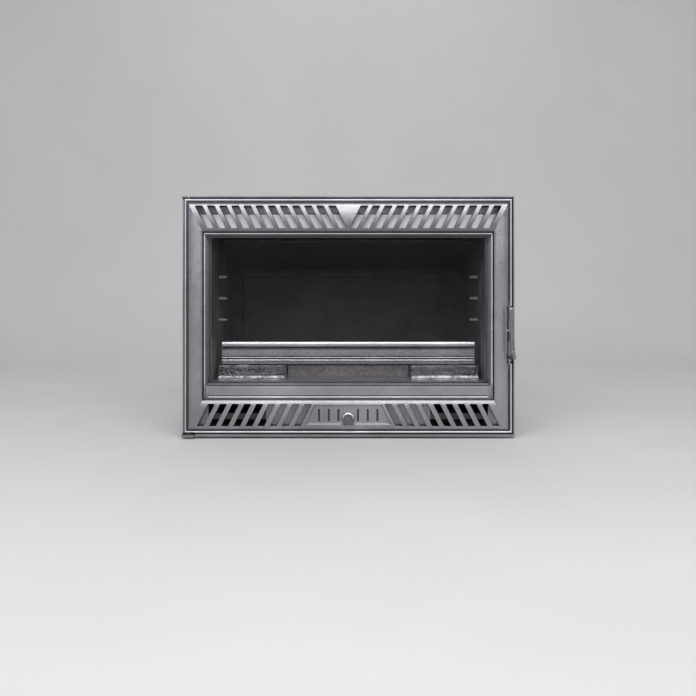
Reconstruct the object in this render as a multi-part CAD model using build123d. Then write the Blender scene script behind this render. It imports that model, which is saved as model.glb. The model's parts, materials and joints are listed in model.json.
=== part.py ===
from build123d import *
import math
import os

# Fireplace insert. Millimetres, +Z up, the front looks along -Y.
# The origin is on the floor, under the middle of the insert's box.

# front frame and door
frame_width = 700
frame_height = 507
foot_height = 4            # floor to the underside of the frame
frame_thickness = 8
frame_lip = 3              # thickness of the raised lip round the door
frame_lip_height = 13      # how far the lip stands in front of the frame plate
hinge_lip_height = 5       # the same beside the hinges, where the door swings past it
door_gap_side = 3          # door to lip, left, right and bottom
door_gap_top = 3.5
door_depth = 22            # crown of the door's face to its back
door_gap_back = 2          # door's back to the frame plate
hinge_lug_thickness = 7.5
low_lug_reach = 13         # hinge axis to the lower lug's right end
low_lug_setback = 3        # crown of the door to the lower lug
high_lug_reach = 7         # hinge axis to the upper lug's right end
high_lug_front = 4         # hinge axis to the upper lug's front
lug_corner = 3
door_gap_hinge = 1.2       # door's lower edge to the lower lug

# door mouldings
rim_bead = 5
rim_groove = 2.7
face_relief = 9            # crown of the face over the groove floor
rim_bead_height = 4.5
field_height = 61.5        # grilles, above and below the window
field_width = 30.9         # stiles, left and right of the window
field_groove = 1.5
window_bead = 11.6         # bead and sloping reveal together
window_bead_height = 6.8
reveal_height = 3.4        # reveal over the groove floor, at the bead
reveal_edge = 1.2          # and at the window
sill_step = 2.7            # groove between the lower grille and the lower bead
lower_bead = 4.8           # half-round part of the bead
sill_height = 20
sill_relief = 2.5
sill_groove = 1.2
sill_bead = 4.4

# grille slots
slot_lean = 0.507          # sideways shift of a slot for each millimetre of height
slot_bar = 9.7
slot_end_bar = 9.5         # between the last slot and the mitre
top_slot_width = 15.7
top_slot_height = 46.5
top_slot_margin = 7.4      # from the field's outer edge to the slots
top_middle = 5.4           # width of the smooth middle at the foot of the slots
low_slot_width = 14.3
low_slot_height = 47.1
low_slot_margin = 6.7
low_slot_bar = 11.1
recess_side_bar = 9.5     # sunk panel's foot to the first lower slot
slot_corner = 1.5
slot_edge = 0.8            # rounding of a slot's front edge

# air shutter
recess_top = 139.4         # width of the sunk panel at its top
recess_bottom = 181.2
recess_height = 44.2
recess_foot = 7.3          # from the field's outer edge
recess_depth = 5
recess_ledge = 6.6         # sloping ledge at the foot of the sunk panel
vent_count = 7             # places for small upright slots, the middle one holds the knob
vent_pitch = 20.4
vent_width = 5
vent_height = 26.5
vent_foot = 17.0           # from the field's outer edge
shutter_thickness = 2
shutter_overlap = 3        # plate beyond its slots, above and below
shutter_play = 0.3
knob_drop = 4.8            # knob's middle below the middle of the upright slots
knob_radius = 13.3
knob_length = 16
stud_radius = 3

# window glass and seals
glass_thickness = 4
glass_overlap = 6
glass_gasket = 2
glass_play = 0.7
clip_thickness = 1.5
clip_width = 18
clip_rows = 3
seal_width = 7
seal_depth = 5.8
seal_proud = 1.5
seal_wall = 3              # glass pocket to the seal's groove, at the sides and the foot
seal_wall_top = 1.7
pocket_side = 14           # glass to the pocket's side
pocket_foot = 10
hollow_margin = 4          # hollows behind the grilles to the field's outer edge

# hinges and latch
hinge_inset = 8            # door's left edge to the hinge axis
hinge_setback = 14.5       # crown of the door to the hinge axis
hinge_pin_radius = 3
hinge_bore_depth = 40
pin_end_gap = 2            # pin's end to the bore's
washer_width = 3.6
washer_play = 0.3          # washer to the door's lower edge
running_clearance = 0.05
notch_width = 11.2
notch_low = 145.7          # door's lower edge to the latch notch
notch_height = 121
latch_inset = 5            # door's right edge to the latch axis
latch_setback = 12
latch_pin_radius = 2.5
barrel_radius = 5.2
barrel_foot = 5            # notch's foot to the handle's barrel
barrel_length = 41
grip_length = 92
grip_radius = 4.6
grip_reach = 25            # grip's axis in front of the door's crown
grip_low = 27.5            # notch's foot to the grip's foot
grip_right = 1             # latch axis to the grip's foot
grip_lean = 3.4            # grip's head to the left of its foot
flute_radius = 1.1
arm_bend = 6
cap_height = 5
cap_overhang = 0.5
latch_pin_hold = 12        # pin in the door above and below the notch

# firebox
fire_width = 580
fire_top = 426             # above the underside of the frame, as the next three
hearth_floor = 115
raised_hearth = 141.5
casing_top = 497
wall_thickness = 8
back_setback = 400         # crown of the door to the firebox's back wall
casing_setback = 428
casing_gap = 24            # firebox wall to the outside of the casing
sheet = 1.5

# openings of the frame
outlet_low = 438.5
outlet_high = 490
inlet_low = 20
inlet_high = 72
inlet_inner = 173.5
inlet_outer = 296
air_hole_width = 150
air_hole_low = 30
air_hole_high = 64

# hearth furniture
block_inner = 135
block_outer = 279
block_front = 43           # setbacks from the crown of the door
block_brow = 95
block_lip = 7
block_wall = 8
block_gap = 3              # block to the firebox's side wall
ledge_width = 9            # ledge of a block that carries the grate
ledge_height = 6
pan_front = 109
pan_depth = 220
grate_thickness = 8
grate_play = 1
grate_setback = 8          # ash pan's front to the grate
hearth_back_gap = 4
rest_gap = 0.2             # a piece that lifts out, over what carries it
grate_slot = 9
grate_bar = 9
retainer_front = 90
retainer_length = 552
retainer_height = 51.7
retainer_foot = 4
retainer_foot_setback = 10
retainer_foot_x = 221
retainer_foot_width = 20
rack_setback = 150
rack_rows = 3
rack_pitch = 48
rack_low = 239
rack_length = 17
rack_radius = 4

# flue
flue_radius = 90.5
flue_wall = 6
flue_socket = 60
flue_setback = 240
flue_top = 515             # above the underside of the frame
flue_flange = 18
flue_flange_thickness = 8
flue_bolts = 6
gasket_thickness = 3

# carriage
rail_width = 18
rail_sheet = 2.5
foot_pad_radius = 18
foot_pad_height = 6
foot_stud_radius = 5
foot_margin = 28
tie_radius = 4
tie_margin = 48
bolt_radius = 4
bolt_head = 6.5
bolt_head_height = 5.5
hole_clearance = 0.5
screw_radius = 2
screw_head = 3.5
screw_head_height = 2
grip_flutes = 8
arm_radius = 4
arm_side = 5.2             # latch axis to the arm's outermost stretch
key_radius = 0.9
key_depth = 8              # key in the barrel, and in the cam
cam_height = 20
cam_gap = 0.5              # barrel to the cam's hub
cam_left = 5               # hook's left side from the latch axis
cam_right = 1.3
cam_shank = 2.8
cam_hook = 13.5            # start of the hook behind the latch axis
cam_reach = 18
keeper_thickness = 3
keeper_screw_radius = 1.6
keeper_screw_length = 5    # in the frame
keeper_gap = 0.7           # released hook to the keeper
keeper_margin = 12         # keeper beyond the cam, above and below
keeper_screw_margin = 4
pocket_margin = 4          # pocket beyond the cam, above and below
pocket_inset = 0.6         # notch's side to the pocket's
pocket_wall = 0.8
bolt_margin = 25           # firebox corners to the outer frame bolts
bolt_hold = 6              # bolt in the frame
flange_width = 18
frame_corner = 1.5
frame_lip_foot = 6
outlet_half = 322
tie_inset = 9
duct_half = 80
duct_depth = 200
flue_step = 4.5
flue_gap = 4
fireback_margin = 28
fireback_border = 14
fireback_top = 345
fireback_relief = 3
baffle_side_gap = 5
baffle_rest_width = 16
baffle_rear_gap = 6        # over the fireback
baffle_depth = 230
baffle_drop = 14
grate_depth = 230
pan_runner = 4
pan_sheet = 2
pan_side_gap = 2           # tray to the blocks' ledges
pan_rim_gap = 2.5          # tray's rim to the grate
pan_front_gap = 1.5        # pan's front to the blocks
runner_x = 74
runner_width = 8
retainer_roll = 8.8
retainer_groove = 7
foot_thread = 12.5
foot_stud_length = 24
foot_nut_height = 5
rail_ledge = 12
cross_rail_thickness = 4
cross_rail_low = 34
cross_rail_height = 12.5
deflector_depth = 26
deflector_rise = 30.7      # lower part, which leans back
deflector_lean = 5
deflector_upstand = 16.6   # upper part, behind the step
deflector_ports = 7        # openings of the step
deflector_bridge = 8
deflector_port_margin = 2.5
deflector_port_rise = 3.2  # how far the openings run up the upper part
sheet_gap = 1              # frame to the rails and sheets behind it
fold = 12                  # folded edges of the casing's panels
fold_foot = 20
fold_head = 30
casing_screw_margin = 60
top_screw_back = 120

# worked out from the sizes above
handle_reach = grip_reach + grip_radius + cap_overhang
face = (handle_reach - casing_setback) / 2
base = foot_height
half_frame = frame_width / 2
frame_top = base + frame_height
plate_front = face + door_depth + door_gap_back
plate_back = plate_front + frame_thickness
door_back = face + door_depth
half_door = half_frame - frame_lip - door_gap_side
door_low = base + hinge_lug_thickness + door_gap_hinge
door_high = frame_top - frame_lip - door_gap_top
groove_floor = face + face_relief
rim = rim_bead + rim_groove
field_out_x = half_door - rim
field_low = door_low + rim
field_high = door_high - rim
field_in_x = field_out_x - field_width
field_in_low = field_low + field_height
field_in_high = field_high - field_height
bead_out_x = field_in_x - field_groove
bead_out_high = field_in_high - field_groove
bead_out_low = field_in_low + sill_step + field_groove
window_x = bead_out_x - window_bead
window_high = bead_out_high - window_bead
sill_low = bead_out_low + lower_bead + sill_groove
sill_high = sill_low + sill_height
window_low = sill_high + sill_groove + sill_bead
hinge_x = hinge_inset - half_door
hinge_y = face + hinge_setback
latch_x = half_door - latch_inset
latch_y = face + latch_setback
notch_x = half_door - notch_width
notch_z = door_low + notch_low
notch_top = notch_z + notch_height
mitre_slope = (field_width + field_groove) / (field_height + field_groove)
half_fire = fire_width / 2
fire_outer = half_fire + wall_thickness
half_casing = half_fire + casing_gap + wall_thickness + sheet + hole_clearance
floor_z = base + hearth_floor
roof_z = base + fire_top + 2
rail_outer = half_casing - sheet - hole_clearance * 8
rail_inner = rail_outer - rail_width
back_y = face + back_setback
casing_y = face + casing_setback


def block(x0, x1, y0, y1, z0, z1):
    """Box between two corners."""
    middle = Pos((x0 + x1) / 2, (y0 + y1) / 2, (z0 + z1) / 2)
    return middle * Box(x1 - x0, y1 - y0, z1 - z0)


def rod(x, y, z0, z1, radius):
    """Upright cylinder."""
    return Pos(x, y, (z0 + z1) / 2) * Cylinder(radius, z1 - z0)


def rod_back(x, z, y0, y1, radius):
    """Cylinder that runs front to back."""
    return Pos(x, (y0 + y1) / 2, z) * Rot(90, 0, 0) * Cylinder(radius, y1 - y0)


def rod_across(y, z, x0, x1, radius):
    """Cylinder that runs left to right."""
    return Pos((x0 + x1) / 2, y, z) * Rot(0, 90, 0) * Cylinder(radius, x1 - x0)


def hexagon(x, y, z0, z1, radius):
    """Upright hexagonal nut or bolt head."""
    return Pos(x, y, z0) * extrude(RegularPolygon(radius, 6), z1 - z0)


def front_prism(points, y0, y1):
    """Outline in the plane of the front, from y0 back to y1."""
    outline = make_face(Polyline(*points, close=True))
    return extrude(Plane(origin=(0, y1, 0), x_dir=(1, 0, 0), z_dir=(0, -1, 0)) * outline, y1 - y0)


def side_prism(points, x0, x1):
    """Outline in the plane of the side, with points (y, z), from x0 to x1."""
    outline = make_face(Polyline(*points, close=True))
    return extrude(Plane(origin=(x0, 0, 0), x_dir=(0, 1, 0), z_dir=(1, 0, 0)) * outline, x1 - x0)


def mirrored(shape):
    """The same piece on the other side of the middle."""
    return mirror(shape, about=Plane.YZ)


def solids_of(*shapes):
    """Every solid of the given shapes in one list."""
    found = []
    for shape in shapes:
        found += list(shape.solids())
    return found


def save(name, *shapes):
    """One named piece; identical ones go in one file as separate solids."""
    solids = solids_of(*shapes)
    piece = solids[0] if len(solids) == 1 else Compound(solids)
    piece.label = name
    export_step(piece, "parts/" + name + ".step")


# door -------------------------------------------------------------------------

def bead_section(width, height):
    """Half-round bead on the groove floor."""
    crown = height * 4 / 3
    arc = Bezier((0, 0), (0, crown), (width, crown), (width, 0))
    foot = Polyline((width, 0), (width, -1), (0, -1), (0, 0))
    return make_face(arc + foot)


def field_section(width):
    """Face: a low arch between a tall outer side and a rounded inner edge."""
    crown = face_relief
    middle = 0.5 * width
    edge = 0.5 * crown
    rise = Bezier((0, 0), (0, 0.55 * crown), (0.12 * width, crown), (middle, crown))
    fall = Bezier((middle, crown), (0.76 * width, crown), (0.96 * width, 0.86 * crown), (width, edge))
    foot = Polyline((width, edge), (width, -1), (0, -1), (0, 0))
    return make_face(rise + fall + foot)


def window_section(width):
    """Half-round bead; what is left of the width slopes back towards the glass."""
    bead = min(width, lower_bead)
    foot = 0 if bead == width else reveal_height
    crown = (window_bead_height - foot / 8) * 4 / 3
    arc = Bezier((0, 0), (0, crown), (bead, crown), (bead, foot))
    if foot == 0:
        return make_face(arc + Polyline((bead, 0), (bead, -1), (0, -1), (0, 0)))
    return make_face(arc + Polyline((bead, foot), (width, reveal_edge), (width, -1), (0, -1), (0, 0)))


def moulding(section, outer, inner):
    """Section carried round a rectangle in four mitred runs; it gets each run's own width."""
    x0, x1, z0, z1 = outer
    a0, a1, c0, c1 = inner
    corners = [(x0, z0), (x1, z0), (x1, z1), (x0, z1)]
    insides = [(a0, c0), (a1, c0), (a1, c1), (a0, c1)]
    runs = []
    for k in range(4):
        start, end = corners[k], corners[(k + 1) % 4]
        near, far = insides[k], insides[(k + 1) % 4]
        along = Vector(end[0] - start[0], 0, end[1] - start[1])
        inwards = Vector(-along.Z, 0, along.X).normalized()
        width = Vector(near[0] - start[0], 0, near[1] - start[1]).dot(inwards)
        plane = Plane(origin=(start[0], groove_floor, start[1]), x_dir=inwards, z_dir=along)
        run = extrude(plane * section(width), along.length)
        wedge = front_prism([start, end, far, near], face - door_depth, groove_floor + 2)
        runs.append(run & wedge)
    return runs


def slot(x, z0, height, width, lean):
    """Leaning slot; x is its lower left corner, and its top is shifted by lean."""
    shift = lean * height
    corners = [(x, z0), (x + width, z0), (x + width + shift, z0 + height), (x + shift, z0 + height)]
    outline = make_face(Polyline(*corners, close=True))
    outline = fillet(outline.vertices(), slot_corner)
    plane = Plane(origin=(0, door_back + 1, 0), x_dir=(1, 0, 0), z_dir=(0, -1, 0))
    return extrude(plane * outline, door_depth + 2)


def slot_row(first, last, z0, height, width, bar, lean):
    """As many slots as fit between two places on the right half, with their mirror images."""
    pitch = width + bar
    count = int((last - first + bar) // pitch)
    row = [slot(first + k * pitch, z0, height, width, lean) for k in range(count)]
    return row + [mirrored(one) for one in row]


def top_slots():
    """Slots of the upper grille, leaning outwards at the top."""
    z0 = field_high - top_slot_margin - top_slot_height
    end = field_in_x + field_groove + mitre_slope * (z0 - bead_out_high) - slot_end_bar
    return slot_row(top_middle / 2, end, z0, top_slot_height, top_slot_width, slot_bar, slot_lean)


def low_slots():
    """Slots of the lower grille, leaning inwards at the top, beside the sunk panel."""
    first = recess_bottom / 2 + recess_side_bar
    end = field_out_x - mitre_slope * low_slot_margin - slot_end_bar
    return slot_row(first, end, field_low + low_slot_margin, low_slot_height, low_slot_width,
                    low_slot_bar, -slot_lean)


def vent_places():
    """Middles of the small upright slots, without the knob's own place."""
    half = (vent_count - 1) / 2
    places = [(k - half) * vent_pitch for k in range(vent_count)]
    return [x for x in places if abs(x) > vent_pitch / 2]


recess_z = field_low + recess_foot
vent_z = field_low + vent_foot
vent_top = vent_z + vent_height
vent_middle = (vent_z + vent_top) / 2
knob_z = vent_middle - knob_drop
shutter_travel = vent_pitch / 2
shutter_back = face + face_relief + 4
shutter_low = vent_z - shutter_overlap
shutter_high = vent_top + shutter_overlap
shutter_half = (vent_count - 1) / 2 * vent_pitch + vent_pitch


def upright_slot(x, z0, z1, width, y0, y1):
    """Small slot with round ends."""
    middle = (z0 + z1) / 2
    outline = Rot(0, 0, 90) * SlotOverall(z1 - z0, width)
    plane = Plane(origin=(x, y1, middle), x_dir=(1, 0, 0), z_dir=(0, -1, 0))
    return extrude(plane * outline, y1 - y0)


def sunk_panel():
    """Sunk trapezoid in the lower grille, with a sloping ledge at its foot."""
    def outline(y, bottom, top, z0, z1):
        points = [(-bottom / 2, y, z0), (bottom / 2, y, z0), (top / 2, y, z1), (-top / 2, y, z1)]
        return make_face(Polyline(*points, close=True))
    front = outline(face - 1, recess_bottom + 3, recess_top + 3, recess_z - 1, recess_z + recess_height + 1.5)
    floor = outline(face + recess_depth, recess_bottom - 3, recess_top - 1,
                    recess_z + recess_ledge, recess_z + recess_height)
    return loft([front, floor], ruled=True)


def door_leaf():
    """The cast door: slab, mouldings, window, grilles, sunk panel, seal groove and hinge bores."""
    leaf = block(-half_door, half_door, groove_floor, door_back, door_low, door_high)
    back_left = leaf.edges().filter_by(Axis.Z).sort_by(lambda edge: edge.center().X - edge.center().Y)[:1]
    leaf = fillet(back_left, hinge_inset - 0.5)
    rim_out = (-half_door, half_door, door_low, door_high)
    rim_in = (rim_bead - half_door, half_door - rim_bead, door_low + rim_bead, door_high - rim_bead)
    field_out = (-field_out_x, field_out_x, field_low, field_high)
    field_in = (-field_in_x, field_in_x, field_in_low, field_in_high)
    bead_out = (-bead_out_x, bead_out_x, bead_out_low, bead_out_high)
    bead_in = (-window_x, window_x, bead_out_low + lower_bead, window_high)
    runs = moulding(lambda width: bead_section(width, rim_bead_height), rim_out, rim_in)
    runs += moulding(field_section, field_out, field_in)
    runs += moulding(window_section, bead_out, bead_in)
    sill = block(-window_x - 1, window_x + 1, groove_floor - sill_relief, groove_floor + 1,
                 sill_low, sill_high)
    plane = Plane(origin=(-window_x - 1, groove_floor, window_low), x_dir=(0, 0, -1), z_dir=(-1, 0, 0))
    lip = mirrored(extrude(plane * bead_section(sill_bead, sill_relief + 2), -2 * window_x - 2))
    leaf = leaf.fuse(*runs, sill, lip)
    return leaf


def door_cuts():
    """Everything that is cut out of the door."""
    cuts = [block(-window_x, window_x, face - 1, door_back + 1, window_low, window_high)]
    cuts += top_slots() + low_slots()
    cuts.append(sunk_panel())
    for x in vent_places():
        cuts.append(upright_slot(x, vent_z, vent_top, vent_width, face, door_back))
    travel_slot = SlotCenterToCenter(shutter_travel, 2 * stud_radius + 1)
    plane = Plane(origin=(shutter_travel / 2, door_back, knob_z), x_dir=(1, 0, 0), z_dir=(0, -1, 0))
    cuts.append(extrude(plane * travel_slot, door_depth))
    # hollows in the back: upper grille, lower grille, glass, and its clips
    hollow = shutter_back
    x = field_in_x + field_width * 2 / 3
    cuts.append(block(-x, x, hollow, door_back + 1, seal_high_out + seal_wall, field_high - hollow_margin))
    cuts.append(block(-x, x, hollow, door_back + 1, field_low + hollow_margin, seal_low_out - 2 * seal_wall))
    cuts.append(block(-pocket_x, pocket_x, hollow, door_back + 1, pocket_low, pocket_high))
    glass_x = window_x + glass_overlap + glass_play
    cuts.append(block(-glass_x, glass_x, groove_floor, hollow + 1,
                      window_low - glass_overlap - glass_play, pocket_high))
    cuts.append(seal_ring(door_back - seal_depth, door_back + 1))
    # hinge bores, latch notch and the latch pin's bore
    bore = hinge_pin_radius + running_clearance
    cuts.append(rod(hinge_x, hinge_y, door_low - 1, door_low + hinge_bore_depth, bore))
    cuts.append(rod(hinge_x, hinge_y, door_high - hinge_bore_depth, door_high + 1, bore))
    cuts.append(block(notch_x, half_door + 1, face - 1, door_back + 1, notch_z, notch_top))
    cuts.append(rod(latch_x, latch_y, notch_z - latch_pin_hold, notch_top + latch_pin_hold, latch_pin_radius))
    for z in clip_heights():
        for side in (-1, 1):
            cuts.append(rod_back(side * clip_screw_x, z, hollow - 5, hollow + 1, screw_radius))
    for side in (-1, 1):
        for z in (guide_low_z, guide_high_z):
            cuts.append(rod_back(side * guide_screw_x, z, hollow - 3, hollow + 1, screw_radius))
    return cuts


# the rope seal runs outside the glass pocket
pocket_x = window_x + glass_overlap + pocket_side
pocket_low = window_low - glass_overlap - pocket_foot
pocket_high = window_high + glass_overlap + glass_play
seal_x = pocket_x + seal_wall
seal_high = pocket_high + seal_wall_top
seal_low = pocket_low - seal_wall
seal_high_out = seal_high + seal_width
seal_low_out = seal_low - seal_width
clip_screw_x = pocket_x - 4.5
guide_width = 8
guide_low_z = shutter_low - guide_width / 2 - shutter_play
guide_high_z = shutter_high + guide_width / 2 + shutter_play
guide_screw_x = shutter_half - vent_pitch / 2


def clip_heights():
    """Heights of the glass clips on each side."""
    low = window_low + clip_width
    pitch = (window_high - window_low - 2 * clip_width) / (clip_rows - 1)
    return [low + k * pitch for k in range(clip_rows)]


def seal_ring(y0, y1):
    """Rectangular ring round the window."""
    outer = block(-seal_x - seal_width, seal_x + seal_width, y0, y1, seal_low_out, seal_high_out)
    return outer - block(-seal_x, seal_x, y0 - 1, y1 + 1, seal_low, seal_high)


def front_edges(leaf):
    """Edges where the leaning slots meet the face."""
    near = [edge for edge in leaf.edges() if edge.center().Y < groove_floor and abs((edge % 0.5).Y) < 0.9]
    found = []
    for cutter in top_slots() + low_slots():
        box = cutter.bounding_box()
        for edge in near:
            spot = edge.center()
            beside = box.min.X - 0.01 < spot.X < box.max.X + 0.01
            level = box.min.Z - 0.01 < spot.Z < box.max.Z + 0.01
            if beside and level and cutter.distance_to(Vertex(spot.X, spot.Y, spot.Z)) < 0.02:
                found.append(edge)
    return found


door_body = door_leaf().cut(*door_cuts())
door_body = door_body.fillet(slot_edge, front_edges(door_body))
save("door", door_body)

# window glass, its gasket and clips, and the rope seal

glass_front = groove_floor + glass_gasket
glass_back = glass_front + glass_thickness
glass_x = window_x + glass_overlap
glass_low = window_low - glass_overlap
glass_high = window_high + glass_overlap
save("door_glass", block(-glass_x, glass_x, glass_front, glass_back, glass_low, glass_high))

gasket = block(-glass_x, glass_x, groove_floor, glass_front, glass_low, glass_high)
gasket -= block(-window_x - 1, window_x + 1, groove_floor - 1, glass_back, window_low - 1, window_high + 1)
save("glass_gasket", gasket)

rope = seal_ring(door_back - seal_depth, door_back + seal_proud)
rope_edges = rope.edges().filter_by(lambda edge: edge.center().Y > door_back + seal_proud - 0.01)
save("door_rope_seal", fillet(rope_edges, seal_proud * 0.9))


def glass_clip(z):
    """Z-shaped clip on the right; its tongue lies on the glass."""
    clip_back = glass_back + clip_thickness
    low, high = z - clip_width / 2, z + clip_width / 2
    tongue = block(glass_x - 4, pocket_x - 1, glass_back, clip_back, low, high)
    foot = block(glass_x + glass_play + 1, pocket_x - 1, shutter_back, glass_back, low, high)
    return tongue + foot - rod_back(clip_screw_x, z, shutter_back - 1, clip_back + 1, screw_radius)


def screw(x, z, y_tip, y_seat):
    """Screw with its head at the back of what it holds."""
    shank = rod_back(x, z, y_tip, y_seat, screw_radius)
    return shank + rod_back(x, z, y_seat, y_seat + screw_head_height, screw_head)


clips = [glass_clip(z) for z in clip_heights()]
save("glass_clips", *clips, *[mirrored(clip) for clip in clips])
clip_screws = [screw(clip_screw_x, z, shutter_back - 5, glass_back + clip_thickness) for z in clip_heights()]
save("glass_clip_screws", *clip_screws, *[mirrored(one) for one in clip_screws])


# air shutter ------------------------------------------------------------------

plate_y = shutter_back + shutter_play
plate_end = plate_y + shutter_thickness
shutter = block(-shutter_half, shutter_half, plate_y, plate_end, shutter_low, shutter_high)
for x in vent_places():
    shutter -= upright_slot(x - shutter_travel, vent_z, vent_top, vent_width, plate_y - 1, plate_end + 1)
shutter -= rod_back(0, knob_z, plate_y - 1, plate_end + 1, stud_radius)
save("air_shutter", shutter)

nut_height = 4
knob_back = face + recess_depth - 1.5
knob_front = knob_back - knob_length
save("shutter_stud", rod_back(0, knob_z, knob_back - knob_length / 2, plate_end + nut_height, stud_radius))

nut_plane = Plane(origin=(0, plate_end + nut_height, knob_z), x_dir=(1, 0, 0), z_dir=(0, -1, 0))
nut = extrude(nut_plane * RegularPolygon(stud_radius * 2, 6), nut_height)
save("shutter_nut", nut - rod_back(0, knob_z, plate_end - 1, plate_end + nut_height + 1, stud_radius))

knob = rod_back(0, knob_z, knob_front, knob_back, knob_radius)
knob = fillet(knob.edges().filter_by(GeomType.CIRCLE).sort_by(Axis.Y)[0], knob_radius / 3)
knob -= rod_back(0, knob_z, knob_front - 1, knob_front + 1.2, knob_radius * 0.55) - rod_back(
    0, knob_z, knob_front - 2, knob_front + 2, knob_radius * 0.42)
knob -= rod_back(0, knob_z, knob_back - knob_length / 2, knob_back + 1, stud_radius)
save("shutter_knob", knob)


def shutter_guide(z0, z1, lip0, lip1):
    """Strip beside the shutter with a lip over its edge."""
    lip_y = plate_end + shutter_play
    lip_back = lip_y + clip_thickness
    half = shutter_half - shutter_travel / 2
    strip = block(-half, half, shutter_back, lip_back, z0, z1)
    lip = block(-half, half, lip_y, lip_back, lip0, lip1)
    guide = strip + lip
    for side in (-1, 1):
        guide -= rod_back(side * guide_screw_x, (z0 + z1) / 2, shutter_back - 1, lip_back + 1, screw_radius)
    return guide


lip_over = shutter_overlap - 0.5
low_guide_top = guide_low_z + guide_width / 2
high_guide_foot = guide_high_z - guide_width / 2
low_guide = shutter_guide(guide_low_z - guide_width / 2, low_guide_top, low_guide_top,
                          low_guide_top + lip_over)
high_guide = shutter_guide(high_guide_foot, guide_high_z + guide_width / 2, high_guide_foot - lip_over,
                           high_guide_foot)
save("shutter_guides", low_guide, high_guide)
guide_seat = plate_end + shutter_play + clip_thickness
guide_screws = [screw(side * guide_screw_x, z, shutter_back - 3, guide_seat)
                for side in (-1, 1) for z in (guide_low_z, guide_high_z)]
save("shutter_guide_screws", *guide_screws)


# latch ------------------------------------------------------------------------

save("latch_pin", rod(latch_x, latch_y, notch_z - latch_pin_hold, notch_top + latch_pin_hold,
                      latch_pin_radius))

latch_bore = latch_pin_radius + running_clearance
key_y = latch_y + (latch_bore + barrel_radius) / 2
barrel_low = notch_z + barrel_foot
barrel_high = barrel_low + barrel_length
cam_low = barrel_high + cam_gap
cam_high = cam_low + cam_height
barrel = rod(latch_x, latch_y, barrel_low, barrel_high, barrel_radius)
grip_y = face - grip_reach
grip_foot = Vector(latch_x + grip_right, grip_y, notch_z + grip_low)
grip_head = grip_foot + Vector(-grip_lean, 0, grip_length - cap_height)
grip_plane = Plane(origin=grip_foot, x_dir=(0, -1, 0), z_dir=grip_head - grip_foot)
grip_section = Circle(grip_radius)
for k in range(grip_flutes):
    flute = Pos(grip_radius + flute_radius / 4, 0) * Circle(flute_radius)
    grip_section -= Rot(0, 0, 360 * k / grip_flutes) * flute
grip = extrude(grip_plane * grip_section, (grip_head - grip_foot).length)
arm_line = FilletPolyline(
    (latch_x, latch_y, barrel_low + 2 * arm_radius + 1),
    (latch_x + arm_side, latch_y - latch_setback - arm_bend, barrel_low + 2 * arm_radius - 1),
    (latch_x + arm_side, grip_y + grip_radius, barrel_low + 2 * arm_radius + 2),
    (grip_foot.X, grip_y, grip_foot.Z),
    radius=arm_bend,
)
arm = sweep(Plane(origin=arm_line @ 0, z_dir=arm_line % 0) * Circle(arm_radius), path=arm_line)
elbow = Pos(grip_foot) * Sphere(grip_radius)
handle = barrel + arm + elbow + grip
handle -= rod(latch_x, latch_y, barrel_low - 1, barrel_high + 1, latch_bore)
handle -= rod(latch_x, key_y, barrel_high - key_depth, barrel_high + 1, key_radius)
save("latch_handle", handle)

cap_plane = Plane(origin=grip_head, x_dir=(0, -1, 0), z_dir=grip_head - grip_foot)
cap = extrude(cap_plane * Circle(grip_radius + cap_overhang), cap_height)
save("handle_cap", fillet(cap.edges().filter_by(GeomType.CIRCLE).sort_by(Axis.Z)[-1], cap_height * 0.6))

# the cam: a hub on the pin, a shank beside the keeper and a hook behind it
hub = rod(latch_x, latch_y, cam_low, cam_high, barrel_radius)
shank_x = latch_x - cam_left
cam_end = latch_y + cam_reach
shank = block(shank_x, shank_x + cam_shank, latch_y, cam_end, cam_low, cam_high)
hook = block(shank_x, latch_x + cam_right, latch_y + cam_hook, cam_end, cam_low, cam_high)
cam = hub + shank + hook
cam -= rod(latch_x, latch_y, cam_low - 1, cam_high + 1, latch_bore)
cam -= rod(latch_x, key_y, cam_low - 1, cam_low + key_depth, key_radius)
save("latch_cam", cam)
save("latch_key", rod(latch_x, key_y, barrel_high - key_depth, cam_low + key_depth, key_radius))


# front frame ------------------------------------------------------------------

pocket_left = notch_x + pocket_inset
pocket_right = half_frame - frame_lip - pocket_wall
keeper_x = latch_x + cam_right + keeper_gap
keeper_low = cam_low - keeper_margin
keeper_high = cam_high + keeper_margin
keeper_screw_z = (keeper_low + keeper_screw_margin, keeper_high - keeper_screw_margin)
keeper_screw_x = (keeper_x + pocket_right) / 2
bolt_x = fire_outer + flange_width / 2
bolt_heights = [floor_z + bolt_margin, (floor_z + roof_z) / 2, roof_z - bolt_margin]


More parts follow.
